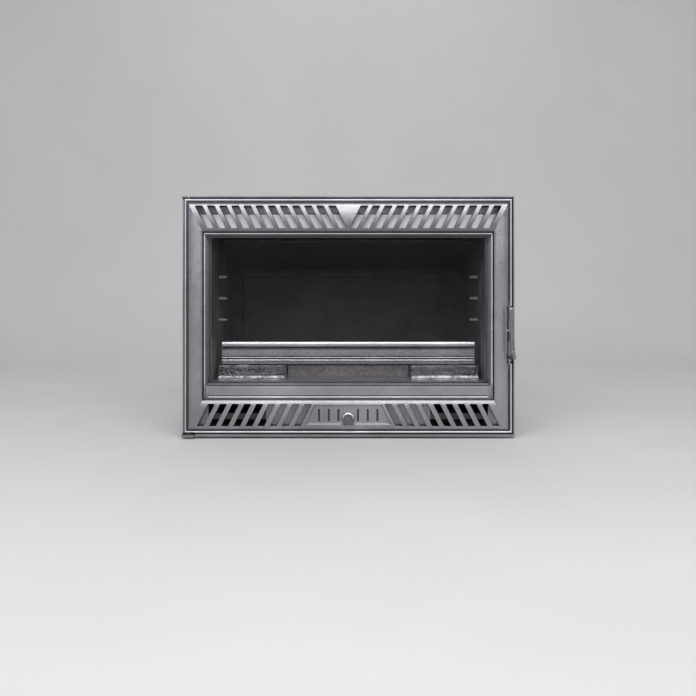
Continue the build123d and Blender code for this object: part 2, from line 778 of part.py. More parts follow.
def front_frame():
    """Cast flange with its raised lip, openings, hinge lugs and latch pocket."""
    lip_front = plate_front - frame_lip_height
    frame = block(-half_frame, half_frame, lip_front, plate_back, base, frame_top)
    frame = fillet(frame.edges().filter_by(Axis.Y), frame_corner)
    frame -= block(frame_lip - half_frame, half_frame - frame_lip, lip_front - 1, plate_front,
                   base + frame_lip_foot, frame_top - frame_lip)
    frame -= block(-half_frame - 1, frame_lip - half_frame + 1, lip_front - 1, plate_front - hinge_lip_height,
                   base + frame_lip_foot, frame_top - frame_lip)
    low_lug = block(-half_frame, hinge_x + low_lug_reach, face + low_lug_setback, plate_front,
                    base, base + hinge_lug_thickness)
    high_lug = block(-half_frame, hinge_x + high_lug_reach, hinge_y - high_lug_front, plate_front,
                     door_high + door_gap_hinge, frame_top)
    lugs = [fillet(lug.edges().filter_by(Axis.Z).sort_by(Axis.Y)[:2], lug_corner)
            for lug in (low_lug, high_lug)]
    frame = frame.fuse(*lugs)
    y0, y1 = plate_front - 1, plate_back + 1
    cuts = [block(-half_fire, half_fire, y0, y1, floor_z, base + fire_top)]
    cuts.append(block(-outlet_half, outlet_half, y0, y1, base + outlet_low, base + outlet_high))
    inlet = block(inlet_inner, inlet_outer, y0, y1, base + inlet_low, base + inlet_high)
    cuts += [inlet, mirrored(inlet)]
    half_hole = air_hole_width / 2
    cuts.append(block(-half_hole, half_hole, y0, y1, base + air_hole_low, base + air_hole_high))
    cuts.append(block(pocket_left, pocket_right, y0, y1, cam_low - pocket_margin, cam_high + pocket_margin))
    cuts.append(rod(hinge_x, hinge_y, base - 1, base + hinge_lug_thickness + 1, hinge_pin_radius))
    cuts.append(rod(hinge_x, hinge_y, door_high, frame_top + 1, hinge_pin_radius))
    for z in bolt_heights:
        for side in (-1, 1):
            cuts.append(rod_back(side * bolt_x, z, plate_back - bolt_hold, plate_back + 1, bolt_radius))
    for z in keeper_screw_z:
        cuts.append(rod_back(keeper_screw_x, z, plate_front - 1, plate_front + keeper_screw_length,
                             keeper_screw_radius))
    return frame.cut(*cuts)


save("front_frame", front_frame())
save("lower_hinge_pin", rod(hinge_x, hinge_y, base, door_low + hinge_bore_depth - pin_end_gap,
                            hinge_pin_radius))
save("upper_hinge_pin", rod(hinge_x, hinge_y, door_high - hinge_bore_depth + pin_end_gap, frame_top,
                            hinge_pin_radius))
washer_low = base + hinge_lug_thickness
washer = rod(hinge_x, hinge_y, washer_low, door_low - washer_play, hinge_pin_radius + washer_width)
washer_bore = hinge_pin_radius + 2 * running_clearance
save("hinge_washer", washer - rod(hinge_x, hinge_y, washer_low - 1, door_low, washer_bore))

keeper = block(keeper_x, pocket_right, plate_front - keeper_thickness, plate_front, keeper_low, keeper_high)
for z in keeper_screw_z:
    keeper -= rod_back(keeper_screw_x, z, plate_front - keeper_thickness - 1, plate_front + 1,
                       keeper_screw_radius)
save("latch_keeper", keeper)
keeper_screws = [rod_back(keeper_screw_x, z, plate_front - keeper_thickness,
                          plate_front + keeper_screw_length, keeper_screw_radius) for z in keeper_screw_z]
save("keeper_screws", *keeper_screws)


# firebox ----------------------------------------------------------------------

def rack_places():
    """Heights of the rack pins."""
    return [base + rack_low + k * rack_pitch for k in range(rack_rows)]


def firebox_side():
    """Right side wall with its front flange."""
    wall = block(half_fire, fire_outer, plate_back, back_y + wall_thickness, floor_z, roof_z)
    flange_back = plate_back + wall_thickness
    side = wall + block(fire_outer, fire_outer + flange_width, plate_back, flange_back, floor_z, roof_z)
    for z in bolt_heights:
        side -= rod_back(bolt_x, z, plate_back - 1, flange_back + 1, bolt_radius + hole_clearance)
    for z in rack_places():
        side -= rod_across(face + rack_setback, z, half_fire - 1, fire_outer + 1, rack_radius - 1)
    return side


right_side = firebox_side()
save("firebox_right_side", right_side)
save("firebox_left_side", mirrored(right_side))
save("firebox_back", block(-half_fire, half_fire, back_y, back_y + wall_thickness, floor_z, roof_z))

tie_x = fire_outer + tie_inset
tie_places = [(side * tie_x, y) for side in (-1, 1) for y in (plate_back + tie_margin, back_y - tie_margin)]
tie_hole = tie_radius + hole_clearance
base_top = floor_z
base_low = floor_z - wall_thickness
base_plate = block(-rail_outer, rail_outer, plate_back, back_y + wall_thickness, base_low, base_top)
base_plate -= block(-duct_half + 20, duct_half - 20, face + duct_depth - 60, face + duct_depth - 10,
                    base_low - 1, base_top + 1)
for x, y in tie_places:
    base_plate -= rod(x, y, base_low - 1, base_top + 1, tie_hole)
save("firebox_base", base_plate)

roof_top = roof_z + wall_thickness
flue_y = face + flue_setback
flue_bolt_ring = flue_radius + flue_wall + flue_flange / 2
bolt_angles = [math.radians(360 * k / flue_bolts) for k in range(flue_bolts)]
flue_bolt_places = [(flue_bolt_ring * math.cos(a), flue_y + flue_bolt_ring * math.sin(a))
                    for a in bolt_angles]
roof = block(-fire_outer, fire_outer, plate_back, back_y + wall_thickness, roof_z, roof_top)
for x, y in tie_places:
    inner = math.copysign(fire_outer - 1, x)
    outer = math.copysign(tie_x + tie_radius * 2.5, x)
    roof += block(min(inner, outer), max(inner, outer), y - 12, y + 12, roof_z, roof_top)
    roof -= rod(x, y, roof_z - 1, roof_top + 1, tie_hole)
roof -= rod(0, flue_y, roof_z - 1, roof_top + 1, flue_radius - flue_step)
for x, y in flue_bolt_places:
    roof -= rod(x, y, roof_z + 2, roof_top + 1, bolt_radius)
save("firebox_roof", roof)

nut_radius = tie_radius * 1.85
tie_low = base_low - rail_sheet
tie_rods = [rod(x, y, tie_low - bolt_head_height - 3, roof_top + bolt_head_height + 3, tie_radius)
            for x, y in tie_places]
save("tie_rods", *tie_rods)
tie_nuts = []
for (x, y), tie_rod in zip(tie_places, tie_rods):
    tie_nuts.append(hexagon(x, y, tie_low - bolt_head_height, tie_low, nut_radius) - tie_rod)
    tie_nuts.append(hexagon(x, y, roof_top, roof_top + bolt_head_height, nut_radius) - tie_rod)
save("tie_rod_nuts", *tie_nuts)

bolt_seat = plate_back + wall_thickness + sheet
frame_bolts = []
for z in bolt_heights:
    shank = rod_back(bolt_x, z, plate_back - bolt_hold, bolt_seat, bolt_radius)
    head_plane = Plane(origin=(bolt_x, bolt_seat + bolt_head_height, z), x_dir=(1, 0, 0), z_dir=(0, -1, 0))
    frame_bolts.append(shank + extrude(head_plane * RegularPolygon(bolt_head, 6), bolt_head_height))
save("frame_bolts", *frame_bolts, *[mirrored(bolt) for bolt in frame_bolts])

rack_pins = []
for z in rack_places():
    cone = Pos(half_fire - rack_length / 2, face + rack_setback, z) * Rot(0, -90, 0) * Cone(
        rack_radius, rack_radius * 0.7, rack_length)
    rack_pins.append(cone + rod_across(face + rack_setback, z, half_fire, fire_outer, rack_radius - 1))
save("rack_pins", *rack_pins, *[mirrored(pin) for pin in rack_pins])

# fireback: cast plate with a raised border, in front of the back wall
fireback_x = half_fire - fireback_margin
fireback_low = base + raised_hearth
fireback = block(-fireback_x, fireback_x, back_y - wall_thickness, back_y, fireback_low, base + fireback_top)
fireback -= block(fireback_border - fireback_x, fireback_x - fireback_border, back_y - wall_thickness - 1,
                  back_y - wall_thickness + fireback_relief, fireback_low + fireback_border,
                  base + fireback_top - fireback_border)
save("fireback", fireback)

# smoke baffle, rising towards the front, on a rest at each side
baffle_rear = (back_y - 1, base + fireback_top + baffle_rear_gap)
baffle_front = (back_y - baffle_depth, base + fire_top - baffle_drop)


def sloping_plate(x0, x1, drop, thickness):
    """Plate along the baffle's slope, its top at drop below the baffle's underside."""
    (y0, z0), (y1, z1) = baffle_rear, baffle_front
    points = [(y0, z0 - drop), (y1, z1 - drop), (y1, z1 - drop + thickness), (y0, z0 - drop + thickness)]
    return side_prism(points, x0, x1)


baffle_half = half_fire - baffle_side_gap
save("smoke_baffle", sloping_plate(-baffle_half, baffle_half, 0, wall_thickness))
rest = sloping_plate(half_fire - baffle_rest_width, half_fire, wall_thickness, wall_thickness)
save("baffle_rests", rest, mirrored(rest))


# hearth -----------------------------------------------------------------------

grate_front = face + pan_front + grate_setback
grate_back = grate_front + grate_depth
grate_low = base + raised_hearth - grate_thickness
hearth_back = back_y - wall_thickness - hearth_back_gap


def hearth_block():
    """Right block: a sloping front, a flat top and a ledge for the grate."""
    y0, y1 = face + block_front, face + block_brow
    top = base + raised_hearth
    outer = half_fire - block_gap
    profile = [(y0, floor_z), (y0, floor_z + block_lip), (y1, top), (hearth_back, top),
               (hearth_back, floor_z)]
    body = side_prism(profile, block_inner, outer)
    corner = make_face(Polyline((block_outer, y0 - 1), (block_outer, y0), (outer, y1), (outer + 1, y1),
                                (outer + 1, y0 - 1), close=True))
    body -= Pos(0, 0, floor_z - 1) * extrude(corner, top - floor_z + 2)
    body -= block(block_inner + block_wall, outer - block_wall, y1 + 2, hearth_back - block_wall,
                  floor_z - 1, top - block_wall)
    ledge_top = grate_low - rest_gap
    return body + block(block_inner - ledge_width, block_inner + 1, grate_front, grate_back,
                        ledge_top - ledge_height, ledge_top)


right_block = hearth_block()
save("hearth_block_right", right_block)
save("hearth_block_left", mirrored(right_block))

grate_half = block_inner - grate_play
grate = block(-grate_half, grate_half, grate_front + grate_play, grate_back - grate_play,
              grate_low, base + raised_hearth)
grate_pitch = grate_slot + grate_bar
grate_count = int((2 * grate_half - 2 * grate_bar) // grate_pitch)
slot_length = (grate_back - grate_front - 4 * grate_bar) / 2
for k in range(grate_count):
    x = (k - (grate_count - 1) / 2) * grate_pitch
    for y in (grate_front + 1.5 * grate_bar, grate_front + 2.5 * grate_bar + slot_length):
        grate -= block(x - grate_slot / 2, x + grate_slot / 2, y, y + slot_length, grate_low - 1, frame_top)
save("grate", grate)


def ash_pan():
    """Tray on two runners, with a taller front."""
    y0 = face + pan_front
    y1 = y0 + pan_depth
    half = block_inner - ledge_width - pan_side_gap
    low = floor_z + pan_runner
    rim = grate_low - pan_rim_gap
    tray = block(-half, half, y0, y1, low, rim)
    tray -= block(pan_sheet - half, half - pan_sheet, y0 + pan_sheet, y1 - pan_sheet,
                  low + pan_sheet, rim + 1)
    front_half = block_inner - pan_front_gap
    front = block(-front_half, front_half, y0, y0 + pan_sheet, floor_z + rest_gap, base + raised_hearth)
    runner = block(runner_x, runner_x + runner_width, y0 + pan_sheet, y1, floor_z + rest_gap, low)
    return tray.fuse(front, runner, mirrored(runner))


save("ash_pan", ash_pan())


def log_retainer():
    """Moulded rail: a roll along the top, a groove, a flat band and two beads over a plain foot."""
    y0 = face + retainer_front
    z0 = base + raised_hearth + retainer_foot
    roll = retainer_roll
    roll_z = retainer_height - roll
    neck = roll - math.sqrt(roll ** 2 - (roll - 0.2) ** 2)
    neck_z = roll_z - roll + 0.2
    groove = retainer_groove

    def at(depth, height):
        return (y0 + depth, z0 + height)

    shoulder = roll * math.sqrt(0.5)
    outline = Polyline(at(3, 0), at(3, 5.9))
    outline += ThreePointArc(at(3, 5.9), at(0.9, 8), at(3, 10.1))
    outline += Polyline(at(3, 10.1), at(groove, 10.1), at(groove, 12.1), at(3.4, 12.1))
    outline += ThreePointArc(at(3.4, 12.1), at(1.8, 13.7), at(3.4, 15.3))
    outline += Polyline(at(3.4, 15.3), at(groove, 15.3), at(groove, 17.6), at(2, 17.6), at(2, neck_z - 3.5),
                        at(neck, neck_z - 3.5), at(neck, neck_z))
    outline += ThreePointArc(at(neck, neck_z), at(0, roll_z), at(roll, retainer_height))
    outline += ThreePointArc(at(roll, retainer_height), at(roll + shoulder, roll_z + shoulder),
                             at(2 * roll, roll_z))
    outline += Polyline(at(2 * roll, roll_z), at(2 * roll, 0), at(3, 0))
    plane = Plane(origin=(-retainer_length / 2, 0, 0), x_dir=(0, 1, 0), z_dir=(1, 0, 0))
    rail = extrude(plane * make_face(outline), retainer_length)
    foot = block(retainer_foot_x, retainer_foot_x + retainer_foot_width, y0 + retainer_foot_setback,
                 y0 + 2 * roll, z0 - retainer_foot + rest_gap, z0 + 1)
    return rail.fuse(foot, mirrored(foot))


save("log_retainer", log_retainer())


# flue -------------------------------------------------------------------------

collar_low = roof_top + gasket_thickness
collar_top = base + flue_top
collar_outer = flue_radius + flue_wall
flange_radius = collar_outer + flue_flange
collar = rod(0, flue_y, collar_low, collar_top, collar_outer)
collar += rod(0, flue_y, collar_low, collar_low + flue_flange_thickness, flange_radius)
collar -= rod(0, flue_y, collar_top - flue_socket, collar_top + 1, flue_radius)
collar -= rod(0, flue_y, collar_low - 1, collar_top, flue_radius - flue_step)
for x, y in flue_bolt_places:
    collar -= rod(x, y, collar_low - 1, collar_low + flue_flange_thickness + 1, bolt_radius + hole_clearance)
save("flue_collar", collar)

flue_gasket = rod(0, flue_y, roof_top, collar_low, flange_radius - 1)
flue_gasket -= rod(0, flue_y, roof_top - 1, collar_low + 1, flue_radius - flue_step)
for x, y in flue_bolt_places:
    flue_gasket -= rod(x, y, roof_top - 1, collar_low + 1, bolt_radius + hole_clearance)
save("flue_gasket", flue_gasket)

flange_top = collar_low + flue_flange_thickness
collar_bolts = [rod(x, y, roof_z + 2, flange_top, bolt_radius)
                + hexagon(x, y, flange_top, flange_top + bolt_head_height, bolt_head)
                for x, y in flue_bolt_places]
save("flue_collar_bolts", *collar_bolts)


# carriage and air ways --------------------------------------------------------

rail_low = foot_pad_height + foot_thread
rail_front = plate_back + sheet_gap
rail_back = back_y + wall_thickness
foot_x = (rail_inner + rail_outer - rail_sheet) / 2
foot_places = [(side * foot_x, y) for side in (-1, 1)
               for y in (rail_front + foot_margin, rail_back - foot_margin)]


def support_rail():
    """Right rail: a channel open inwards, its lower flange wider to carry the bottom panel."""
    rail = block(rail_outer - rail_sheet, rail_outer, rail_front, rail_back, rail_low, base_low)
    rail += block(rail_inner, rail_outer, rail_front, rail_back, base_low - rail_sheet, base_low)
    rail += block(rail_inner - rail_ledge, rail_outer, rail_front, rail_back, rail_low, rail_low + rail_sheet)
    for x, y in tie_places:
        if x > 0:
            rail -= rod(x, y, base_low - rail_sheet - 1, base_low + 1, tie_hole)
    for x, y in foot_places:
        if x > 0:
            rail -= rod(x, y, rail_low - 1, rail_low + rail_sheet + 1, foot_stud_radius + hole_clearance)
    return rail


right_rail = support_rail()
save("support_rail_right", right_rail)
save("support_rail_left", mirrored(right_rail))

stud_top = rail_low + foot_stud_length
feet = [rod(x, y, 0, foot_pad_height, foot_pad_radius) + rod(x, y, 0, stud_top, foot_stud_radius)
        for x, y in foot_places]
save("levelling_feet", *feet)
locknuts = [hexagon(x, y, rail_low - foot_nut_height, rail_low, foot_stud_radius * 1.85)
            - rod(x, y, 0, rail_low + 1, foot_stud_radius) for x, y in foot_places]
nut_low = rail_low + rail_sheet
locknuts += [hexagon(x, y, nut_low, nut_low + foot_nut_height, foot_stud_radius * 1.5)
             - rod(x, y, 0, stud_top, foot_stud_radius) for x, y in foot_places]
save("foot_locknuts", *locknuts)

panel_low = rail_low + rail_sheet
panel_x = rail_inner - 2
save("casing_bottom", block(-panel_x, panel_x, plate_back, casing_y - sheet, panel_low, panel_low + sheet))

duct_low = panel_low + sheet
duct_back = face + duct_depth
duct = block(-duct_half, duct_half, plate_back, duct_back, duct_low, base_low)
duct -= block(sheet - duct_half, duct_half - sheet, plate_back - 1, duct_back - sheet,
              duct_low + sheet, base_low + 1)
save("primary_air_duct", duct)

cross_rail = block(duct_half, rail_inner - rail_ledge, rail_front, rail_front + cross_rail_thickness,
                   base + cross_rail_low, base + cross_rail_low + cross_rail_height)
save("inlet_cross_rails", cross_rail, mirrored(cross_rail))

casing_inner = half_casing - sheet
deflector_y = plate_back + sheet_gap
deflector_z = base + outlet_low
deflector_back = deflector_y + deflector_depth
deflector_step = deflector_z + deflector_rise
deflector_top = deflector_step + deflector_upstand


def outlet_deflector():
    """Bent sheet: a leaning front, a step with openings for the warm air, and an upright behind it."""
    front_top = deflector_y + deflector_lean
    upright = deflector_back - sheet
    under = deflector_step - sheet
    profile = [(deflector_y, deflector_z), (front_top, deflector_step), (upright, deflector_step),
               (upright, deflector_top), (deflector_back, deflector_top), (deflector_back, under),
               (front_top + sheet, under), (deflector_y + sheet, deflector_z)]
    bent = side_prism(profile, -casing_inner, casing_inner)
    pitch = (2 * casing_inner - deflector_bridge) / deflector_ports
    for k in range(deflector_ports):
        x = deflector_bridge - casing_inner + k * pitch
        bent -= block(x, x + pitch - deflector_bridge, front_top + deflector_port_margin, deflector_back + 1,
                      deflector_step - sheet - 1, deflector_step + deflector_port_rise)
    return bent


save("outlet_deflector", outlet_deflector())


# convection casing ------------------------------------------------------------

casing_high = base + casing_top
casing_low = rail_low


def casing_side():
    """Right panel with a tab that the frame bolts hold."""
    panel = block(casing_inner, half_casing, plate_back, casing_y, casing_low, casing_high)
    tab_y = plate_back + wall_thickness
    panel += block(fire_outer + 2, casing_inner, tab_y, tab_y + sheet, floor_z, roof_z)
    for z in bolt_heights:
        panel -= rod_back(bolt_x, z, tab_y - 1, tab_y + sheet + 1, bolt_radius + hole_clearance)
    for y, z in casing_screw_places:
        panel -= rod_across(y, z, casing_inner - 1, half_casing + 1, screw_radius)
    return panel


fold_x = casing_inner - sheet
side_screw_z = (casing_low + casing_screw_margin, (casing_low + casing_high) / 2,
                casing_high - casing_screw_margin)
casing_screw_places = [(casing_y - sheet - fold / 2, z) for z in side_screw_z]
casing_screw_places += [(y, casing_high - sheet - fold / 2)
                        for y in (plate_back + casing_screw_margin, casing_y - top_screw_back)]
right_casing = casing_side()
save("casing_right", right_casing)
save("casing_left", mirrored(right_casing))

rear_fold = block(fold_x, casing_inner, casing_y - sheet - fold, casing_y - sheet,
                  casing_low + fold_foot, casing_high - fold_head)
rear_panel = block(-casing_inner, casing_inner, casing_y - sheet, casing_y, casing_low, casing_high)
rear_panel = rear_panel.fuse(rear_fold, mirrored(rear_fold))
top_fold = block(fold_x, casing_inner, deflector_back + sheet_gap, casing_y - 2 * fold_head,
                 casing_high - sheet - fold, casing_high - sheet)
top_panel = block(-casing_inner, casing_inner, plate_back, casing_y - sheet, casing_high - sheet, casing_high)
top_panel = top_panel.fuse(top_fold, mirrored(top_fold))
top_panel -= rod(0, flue_y, casing_high - sheet - 1, casing_high + 1, collar_outer + flue_gap)
casing_screws = []
for y, z in casing_screw_places:
    hole = rod_across(y, z, fold_x - 1, casing_inner + 1, screw_radius)
    rear_panel = rear_panel - hole - mirrored(hole)
    top_panel = top_panel - hole - mirrored(hole)
    casing_screws.append(rod_across(y, z, fold_x - 5, half_casing, screw_radius)
                         + rod_across(y, z, half_casing, half_casing + screw_head_height, screw_head))
save("casing_back", rear_panel)
save("casing_top", top_panel)
save("casing_screws", *casing_screws, *[mirrored(one) for one in casing_screws])
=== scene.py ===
# Fireplace insert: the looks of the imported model. Metres, +Z up, the front looks along -Y.
import json
import math

import bmesh
import bpy
import numpy as np
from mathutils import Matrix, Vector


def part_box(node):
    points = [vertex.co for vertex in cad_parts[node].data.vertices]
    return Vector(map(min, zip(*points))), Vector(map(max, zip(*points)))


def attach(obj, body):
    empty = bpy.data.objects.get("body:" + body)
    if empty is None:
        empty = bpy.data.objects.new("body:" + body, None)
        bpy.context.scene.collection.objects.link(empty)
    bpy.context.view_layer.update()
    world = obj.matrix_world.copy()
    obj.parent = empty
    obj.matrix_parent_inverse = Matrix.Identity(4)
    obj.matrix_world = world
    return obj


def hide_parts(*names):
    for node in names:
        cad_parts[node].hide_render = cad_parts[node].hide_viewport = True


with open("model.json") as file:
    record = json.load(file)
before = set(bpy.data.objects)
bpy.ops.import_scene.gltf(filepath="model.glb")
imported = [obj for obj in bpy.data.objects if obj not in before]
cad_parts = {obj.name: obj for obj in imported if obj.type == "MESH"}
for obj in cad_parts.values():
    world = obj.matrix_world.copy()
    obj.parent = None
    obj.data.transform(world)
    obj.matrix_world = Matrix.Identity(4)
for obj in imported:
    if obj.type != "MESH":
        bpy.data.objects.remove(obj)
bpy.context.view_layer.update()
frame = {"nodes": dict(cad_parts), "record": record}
nodes = frame["nodes"]
print("frame loaded:", len(nodes), "nodes")


# camera: level, its shift moves the picture's window down
camera = {
    "distance": 2.0,  # from the foremost point of the door
    "sideways": -0.0005,
    "eyeHeight": 0.357,
    "lens": 49.45,
    "shiftY": -0.1135,
}
cameraData = bpy.data.cameras.new("camera")
cameraData.lens = camera["lens"]
cameraData.shift_y = camera["shiftY"]
cameraObject = bpy.data.objects.new("camera", cameraData)
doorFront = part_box("door")[0].y
cameraObject.location = (camera["sideways"], doorFront - camera["distance"], camera["eyeHeight"])
cameraObject.rotation_euler = (math.pi / 2, 0, 0)
bpy.context.scene.collection.objects.link(cameraObject)
bpy.context.scene.camera = cameraObject
print("camera set")


# nodes of the materials

white = (1.0, 1.0, 1.0)
noiseSpan = (0.3, 0.7)  # most of a noise lies between these


def grey(level):
    return (level, level, level)


def startMaterial(name, metallic, roughness=0.5, specular=0.5):
    material = bpy.data.materials.new(name)
    material.use_nodes = True
    shader = material.node_tree.nodes["Principled BSDF"]
    shader.inputs["Metallic"].default_value = metallic
    shader.inputs["Roughness"].default_value = roughness
    shader.inputs["Specular IOR Level"].default_value = specular
    return material, material.node_tree, shader


def connect(tree, shader, colour, roughness=None, normal=None):
    for name, socket in (("Base Color", colour), ("Roughness", roughness), ("Normal", normal)):
        if socket is not None:
            tree.links.new(socket, shader.inputs[name])


def objectPlace(tree, stretch=(1, 1, 1)):
    # a point of the piece in metres, times stretch
    place = tree.nodes.new("ShaderNodeTexCoord")
    mapping = tree.nodes.new("ShaderNodeMapping")
    mapping.inputs["Scale"].default_value = stretch
    tree.links.new(place.outputs["Object"], mapping.inputs["Vector"])
    return mapping.outputs["Vector"]


def noise(tree, place, texture):
    # texture is (scale, detail, roughness)
    node = tree.nodes.new("ShaderNodeTexNoise")
    for socket, number in zip(("Scale", "Detail", "Roughness"), texture):
        node.inputs[socket].default_value = number
    tree.links.new(place, node.inputs["Vector"])
    return node.outputs["Fac"]


def cellTone(tree, place, scale):
    # one random number for each cell
    node = tree.nodes.new("ShaderNodeTexVoronoi")
    node.inputs["Scale"].default_value = scale
    tree.links.new(place, node.inputs["Vector"])
    return axisOf(tree, node.outputs["Color"], "X")


def ramp(tree, value, *stops):
    # stops are (position, colour)
    node = tree.nodes.new("ShaderNodeValToRGB")
    elements = node.color_ramp.elements
    while len(elements) < len(stops):
        elements.new(0.5)
    for element, (position, colour) in zip(elements, stops):
        element.position = position
        element.color = (*colour, 1)
    tree.links.new(value, node.inputs["Fac"])
    return node.outputs["Color"]


def fade(tree, value, span, first, last):
    # first colour up to the start of span, last colour from its end
    return ramp(tree, value, (span[0], first), (span[1], last))


def rangeOf(tree, value, low, high, newLow, newHigh):
    # value from low..high to newLow..newHigh, held at both ends
    node = tree.nodes.new("ShaderNodeMapRange")
    sockets = ("From Min", "From Max", "To Min", "To Max")
    for socket, number in zip(sockets, (low, high, newLow, newHigh)):
        node.inputs[socket].default_value = number
    tree.links.new(value, node.inputs["Value"])
    return node.outputs["Result"]


def mixed(tree, first, second, amount, mode="MIX"):
    # amount is a number or a socket, a colour is a tuple or a socket
    node = tree.nodes.new("ShaderNodeMix")
    node.data_type = "RGBA"
    node.blend_type = mode
    if isinstance(amount, (int, float)):
        node.inputs["Factor"].default_value = amount
    else:
        tree.links.new(amount, node.inputs["Factor"])
    for socket, value in (("A", first), ("B", second)):
        entry = [one for one in node.inputs if one.name == socket and one.type == "RGBA"][0]
        if isinstance(value, tuple):
            entry.default_value = (*value, 1)
        else:
            tree.links.new(value, entry)
    return [one for one in node.outputs if one.type == "RGBA"][0]


def tinted(tree, colour, factor, share=1.0):
    # colour times factor; share is how much of that shows
    return mixed(tree, colour, factor, share, "MULTIPLY")


def onlyWhere(tree, factor, mask):
    # factor where mask is 1, white where it is 0
    return mixed(tree, white, factor, mask)


def bumped(tree, height, depth, under=None):
    # depth is (strength, distance), under is a coarser bump
    node = tree.nodes.new("ShaderNodeBump")
    node.inputs["Strength"].default_value, node.inputs["Distance"].default_value = depth
    tree.links.new(height, node.inputs["Height"])
    if under is not None:
        tree.links.new(under, node.inputs["Normal"])
    return node.outputs["Normal"]


def axisOf(tree, place, axis):
    node = tree.nodes.new("ShaderNodeSeparateXYZ")
    tree.links.new(place, node.inputs["Vector"])
    return node.outputs[axis]


def calculated(tree, operation, first, second=0.0):
    node = tree.nodes.new("ShaderNodeMath")
    node.operation = operation
    for socket, value in zip(node.inputs, (first, second)):
        if isinstance(value, (int, float)):
            socket.default_value = value
        else:
            tree.links.new(value, socket)
    return node.outputs["Value"]


def awayFrom(tree, place, axis, origin):
    return calculated(tree, "SUBTRACT", axisOf(tree, place, axis), origin)


def outsideOf(tree, place, box):
    # metres outside an upright rectangle (x0, x1, z0, z1), sideways and upright:
    # |coordinate - middle| - half the width, less than 0 in it
    gaps = []
    for axis, low, high in (("X", *box[:2]), ("Z", *box[2:])):
        distance = calculated(tree, "ABSOLUTE", awayFrom(tree, place, axis, (low + high) / 2))
        gaps.append(calculated(tree, "SUBTRACT", distance, (high - low) / 2))
    return gaps


def rings(tree, gap, reach, stops):
    # grey factor over a gap in metres; stops are (millimetres, level), reach is the ramp's length in mm
    start = stops[0][0]
    position = rangeOf(tree, gap, start / 1000, start / 1000 + reach / 1000, 0, 1)
    return ramp(tree, position, *[((mm - start) / reach, grey(level)) for mm, level in stops])


def hollows(tree, reach, inside=False):
    # 1 in the open, less where the piece's own faces stand within reach;
    # inside: less near its outer edges
    node = tree.nodes.new("ShaderNodeAmbientOcclusion")
    node.samples = 6
    node.only_local = True
    node.inside = inside
    node.inputs["Distance"].default_value = reach
    return node.outputs["AO"]


def edgeWearAndHighlight(tree, look):
    # edges brightened, partly wear and partly painted highlight: a factor of edgeGleam at the piece's outer
    # edges, 1 away from them
    edges = hollows(tree, look["edgeReach"], True)
    return fade(tree, edges, look["edgeSpan"], grey(look["edgeGleam"]), white)


# frame's seat under the door's rim: a painted shadow, black in the gap as far as the lip, which stands 3 mm
# outside the door
seatGapShadow = {
    # by mm outside the door
    "ring": (16.0, ((-10.0, 1.0), (-7.0, 0.06), (3.0, 0.06), (3.6, 1.0))),
    "fade": (0.003, 0.005),  # behind the door's back, where the black ends
}


def seatShade(tree, place):
    # painted shadow: a grey factor by distance from the door's outline, on the front of the frame only
    low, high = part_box("door")
    gap = calculated(tree, "MAXIMUM", *outsideOf(tree, place, (low.x, high.x, low.z, high.z)))
    start, end = (high.y + depth for depth in seatGapShadow["fade"])
    inFront = rangeOf(tree, axisOf(tree, place, "Y"), start, end, 1, 0)
    return onlyWhere(tree, rings(tree, gap, *seatGapShadow["ring"]), inFront)


# door: painted highlights on the rim bead, window bead and sill, painted shade in the groove and the reveal
# at the glass, and painted shade over a band of the upper grille above the window
doorPaintedLight = {
    # by mm outside the door
    "rim": (10.0, ((-9.0, 1.0), (-7.9, 0.5), (-5.4, 0.5), (-4.8, 2.0), (0.0, 2.0))),
    "glassCovered": 0.006,  # edge of the glass behind the casting
    # by mm outside the window
    "window": (13.0, ((0.0, 0.3), (6.4, 0.45), (7.0, 2.3), (11.2, 2.0), (12.0, 1.0))),
    "windowFoot": (-0.012, 0.004),  # the window's bead and reveal begin here, from its lower edge
    "bandSlope": 1.94,  # the band's ends lean as the slots do
    "bandEnds": (-0.0125, -0.0115),
    # by mm over the window
    "band": (34.0, ((12.5, 0.5), (24.0, 0.62), (34.0, 0.82), (46.0, 1.0))),
    # by mm under the window
    "sill": (36.0, ((-1.0, 1.0), (0.0, 1.9), (4.6, 1.9), (5.4, 1.0), (26.4, 1.0), (27.0, 2.0), (30.6, 2.0),
                    (31.4, 1.0))),
    "sillEnds": (0.0, 0.0006),
}


def castShade(tree, place):
    # painted light and shade: grey factors by distance from the door's outline and from its window,
    # multiplied
    low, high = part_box("door")
    rim = calculated(tree, "MAXIMUM", *outsideOf(tree, place, (low.x, high.x, low.z, high.z)))
    colour = rings(tree, rim, *doorPaintedLight["rim"])
    low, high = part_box("door_glass")
    covered = doorPaintedLight["glassCovered"]
    foot = low.z + covered
    window = (low.x + covered, high.x - covered, foot, high.z - covered)
    sideways, upright = outsideOf(tree, place, window)
    ring = rings(tree, calculated(tree, "MAXIMUM", sideways, upright), *doorPaintedLight["window"])
    start, end = (foot + step for step in doorPaintedLight["windowFoot"])
    aboveFoot = rangeOf(tree, axisOf(tree, place, "Z"), start, end, 0, 1)
    colour = tinted(tree, colour, onlyWhere(tree, ring, aboveFoot))
    leaning = calculated(tree, "MULTIPLY", sideways, doorPaintedLight["bandSlope"])
    inBand = rangeOf(tree, calculated(tree, "SUBTRACT", upright, leaning), *doorPaintedLight["bandEnds"], 0, 1)
    inBand = calculated(tree, "MULTIPLY", inBand, aboveFoot)
    colour = tinted(tree, colour, onlyWhere(tree, rings(tree, upright, *doorPaintedLight["band"]), inBand))
    sill = rings(tree, calculated(tree, "SUBTRACT", foot, axisOf(tree, place, "Z")), *doorPaintedLight["sill"])
    inSill = rangeOf(tree, sideways, *doorPaintedLight["sillEnds"], 1, 0)
    return tinted(tree, colour, onlyWhere(tree, sill, inSill))
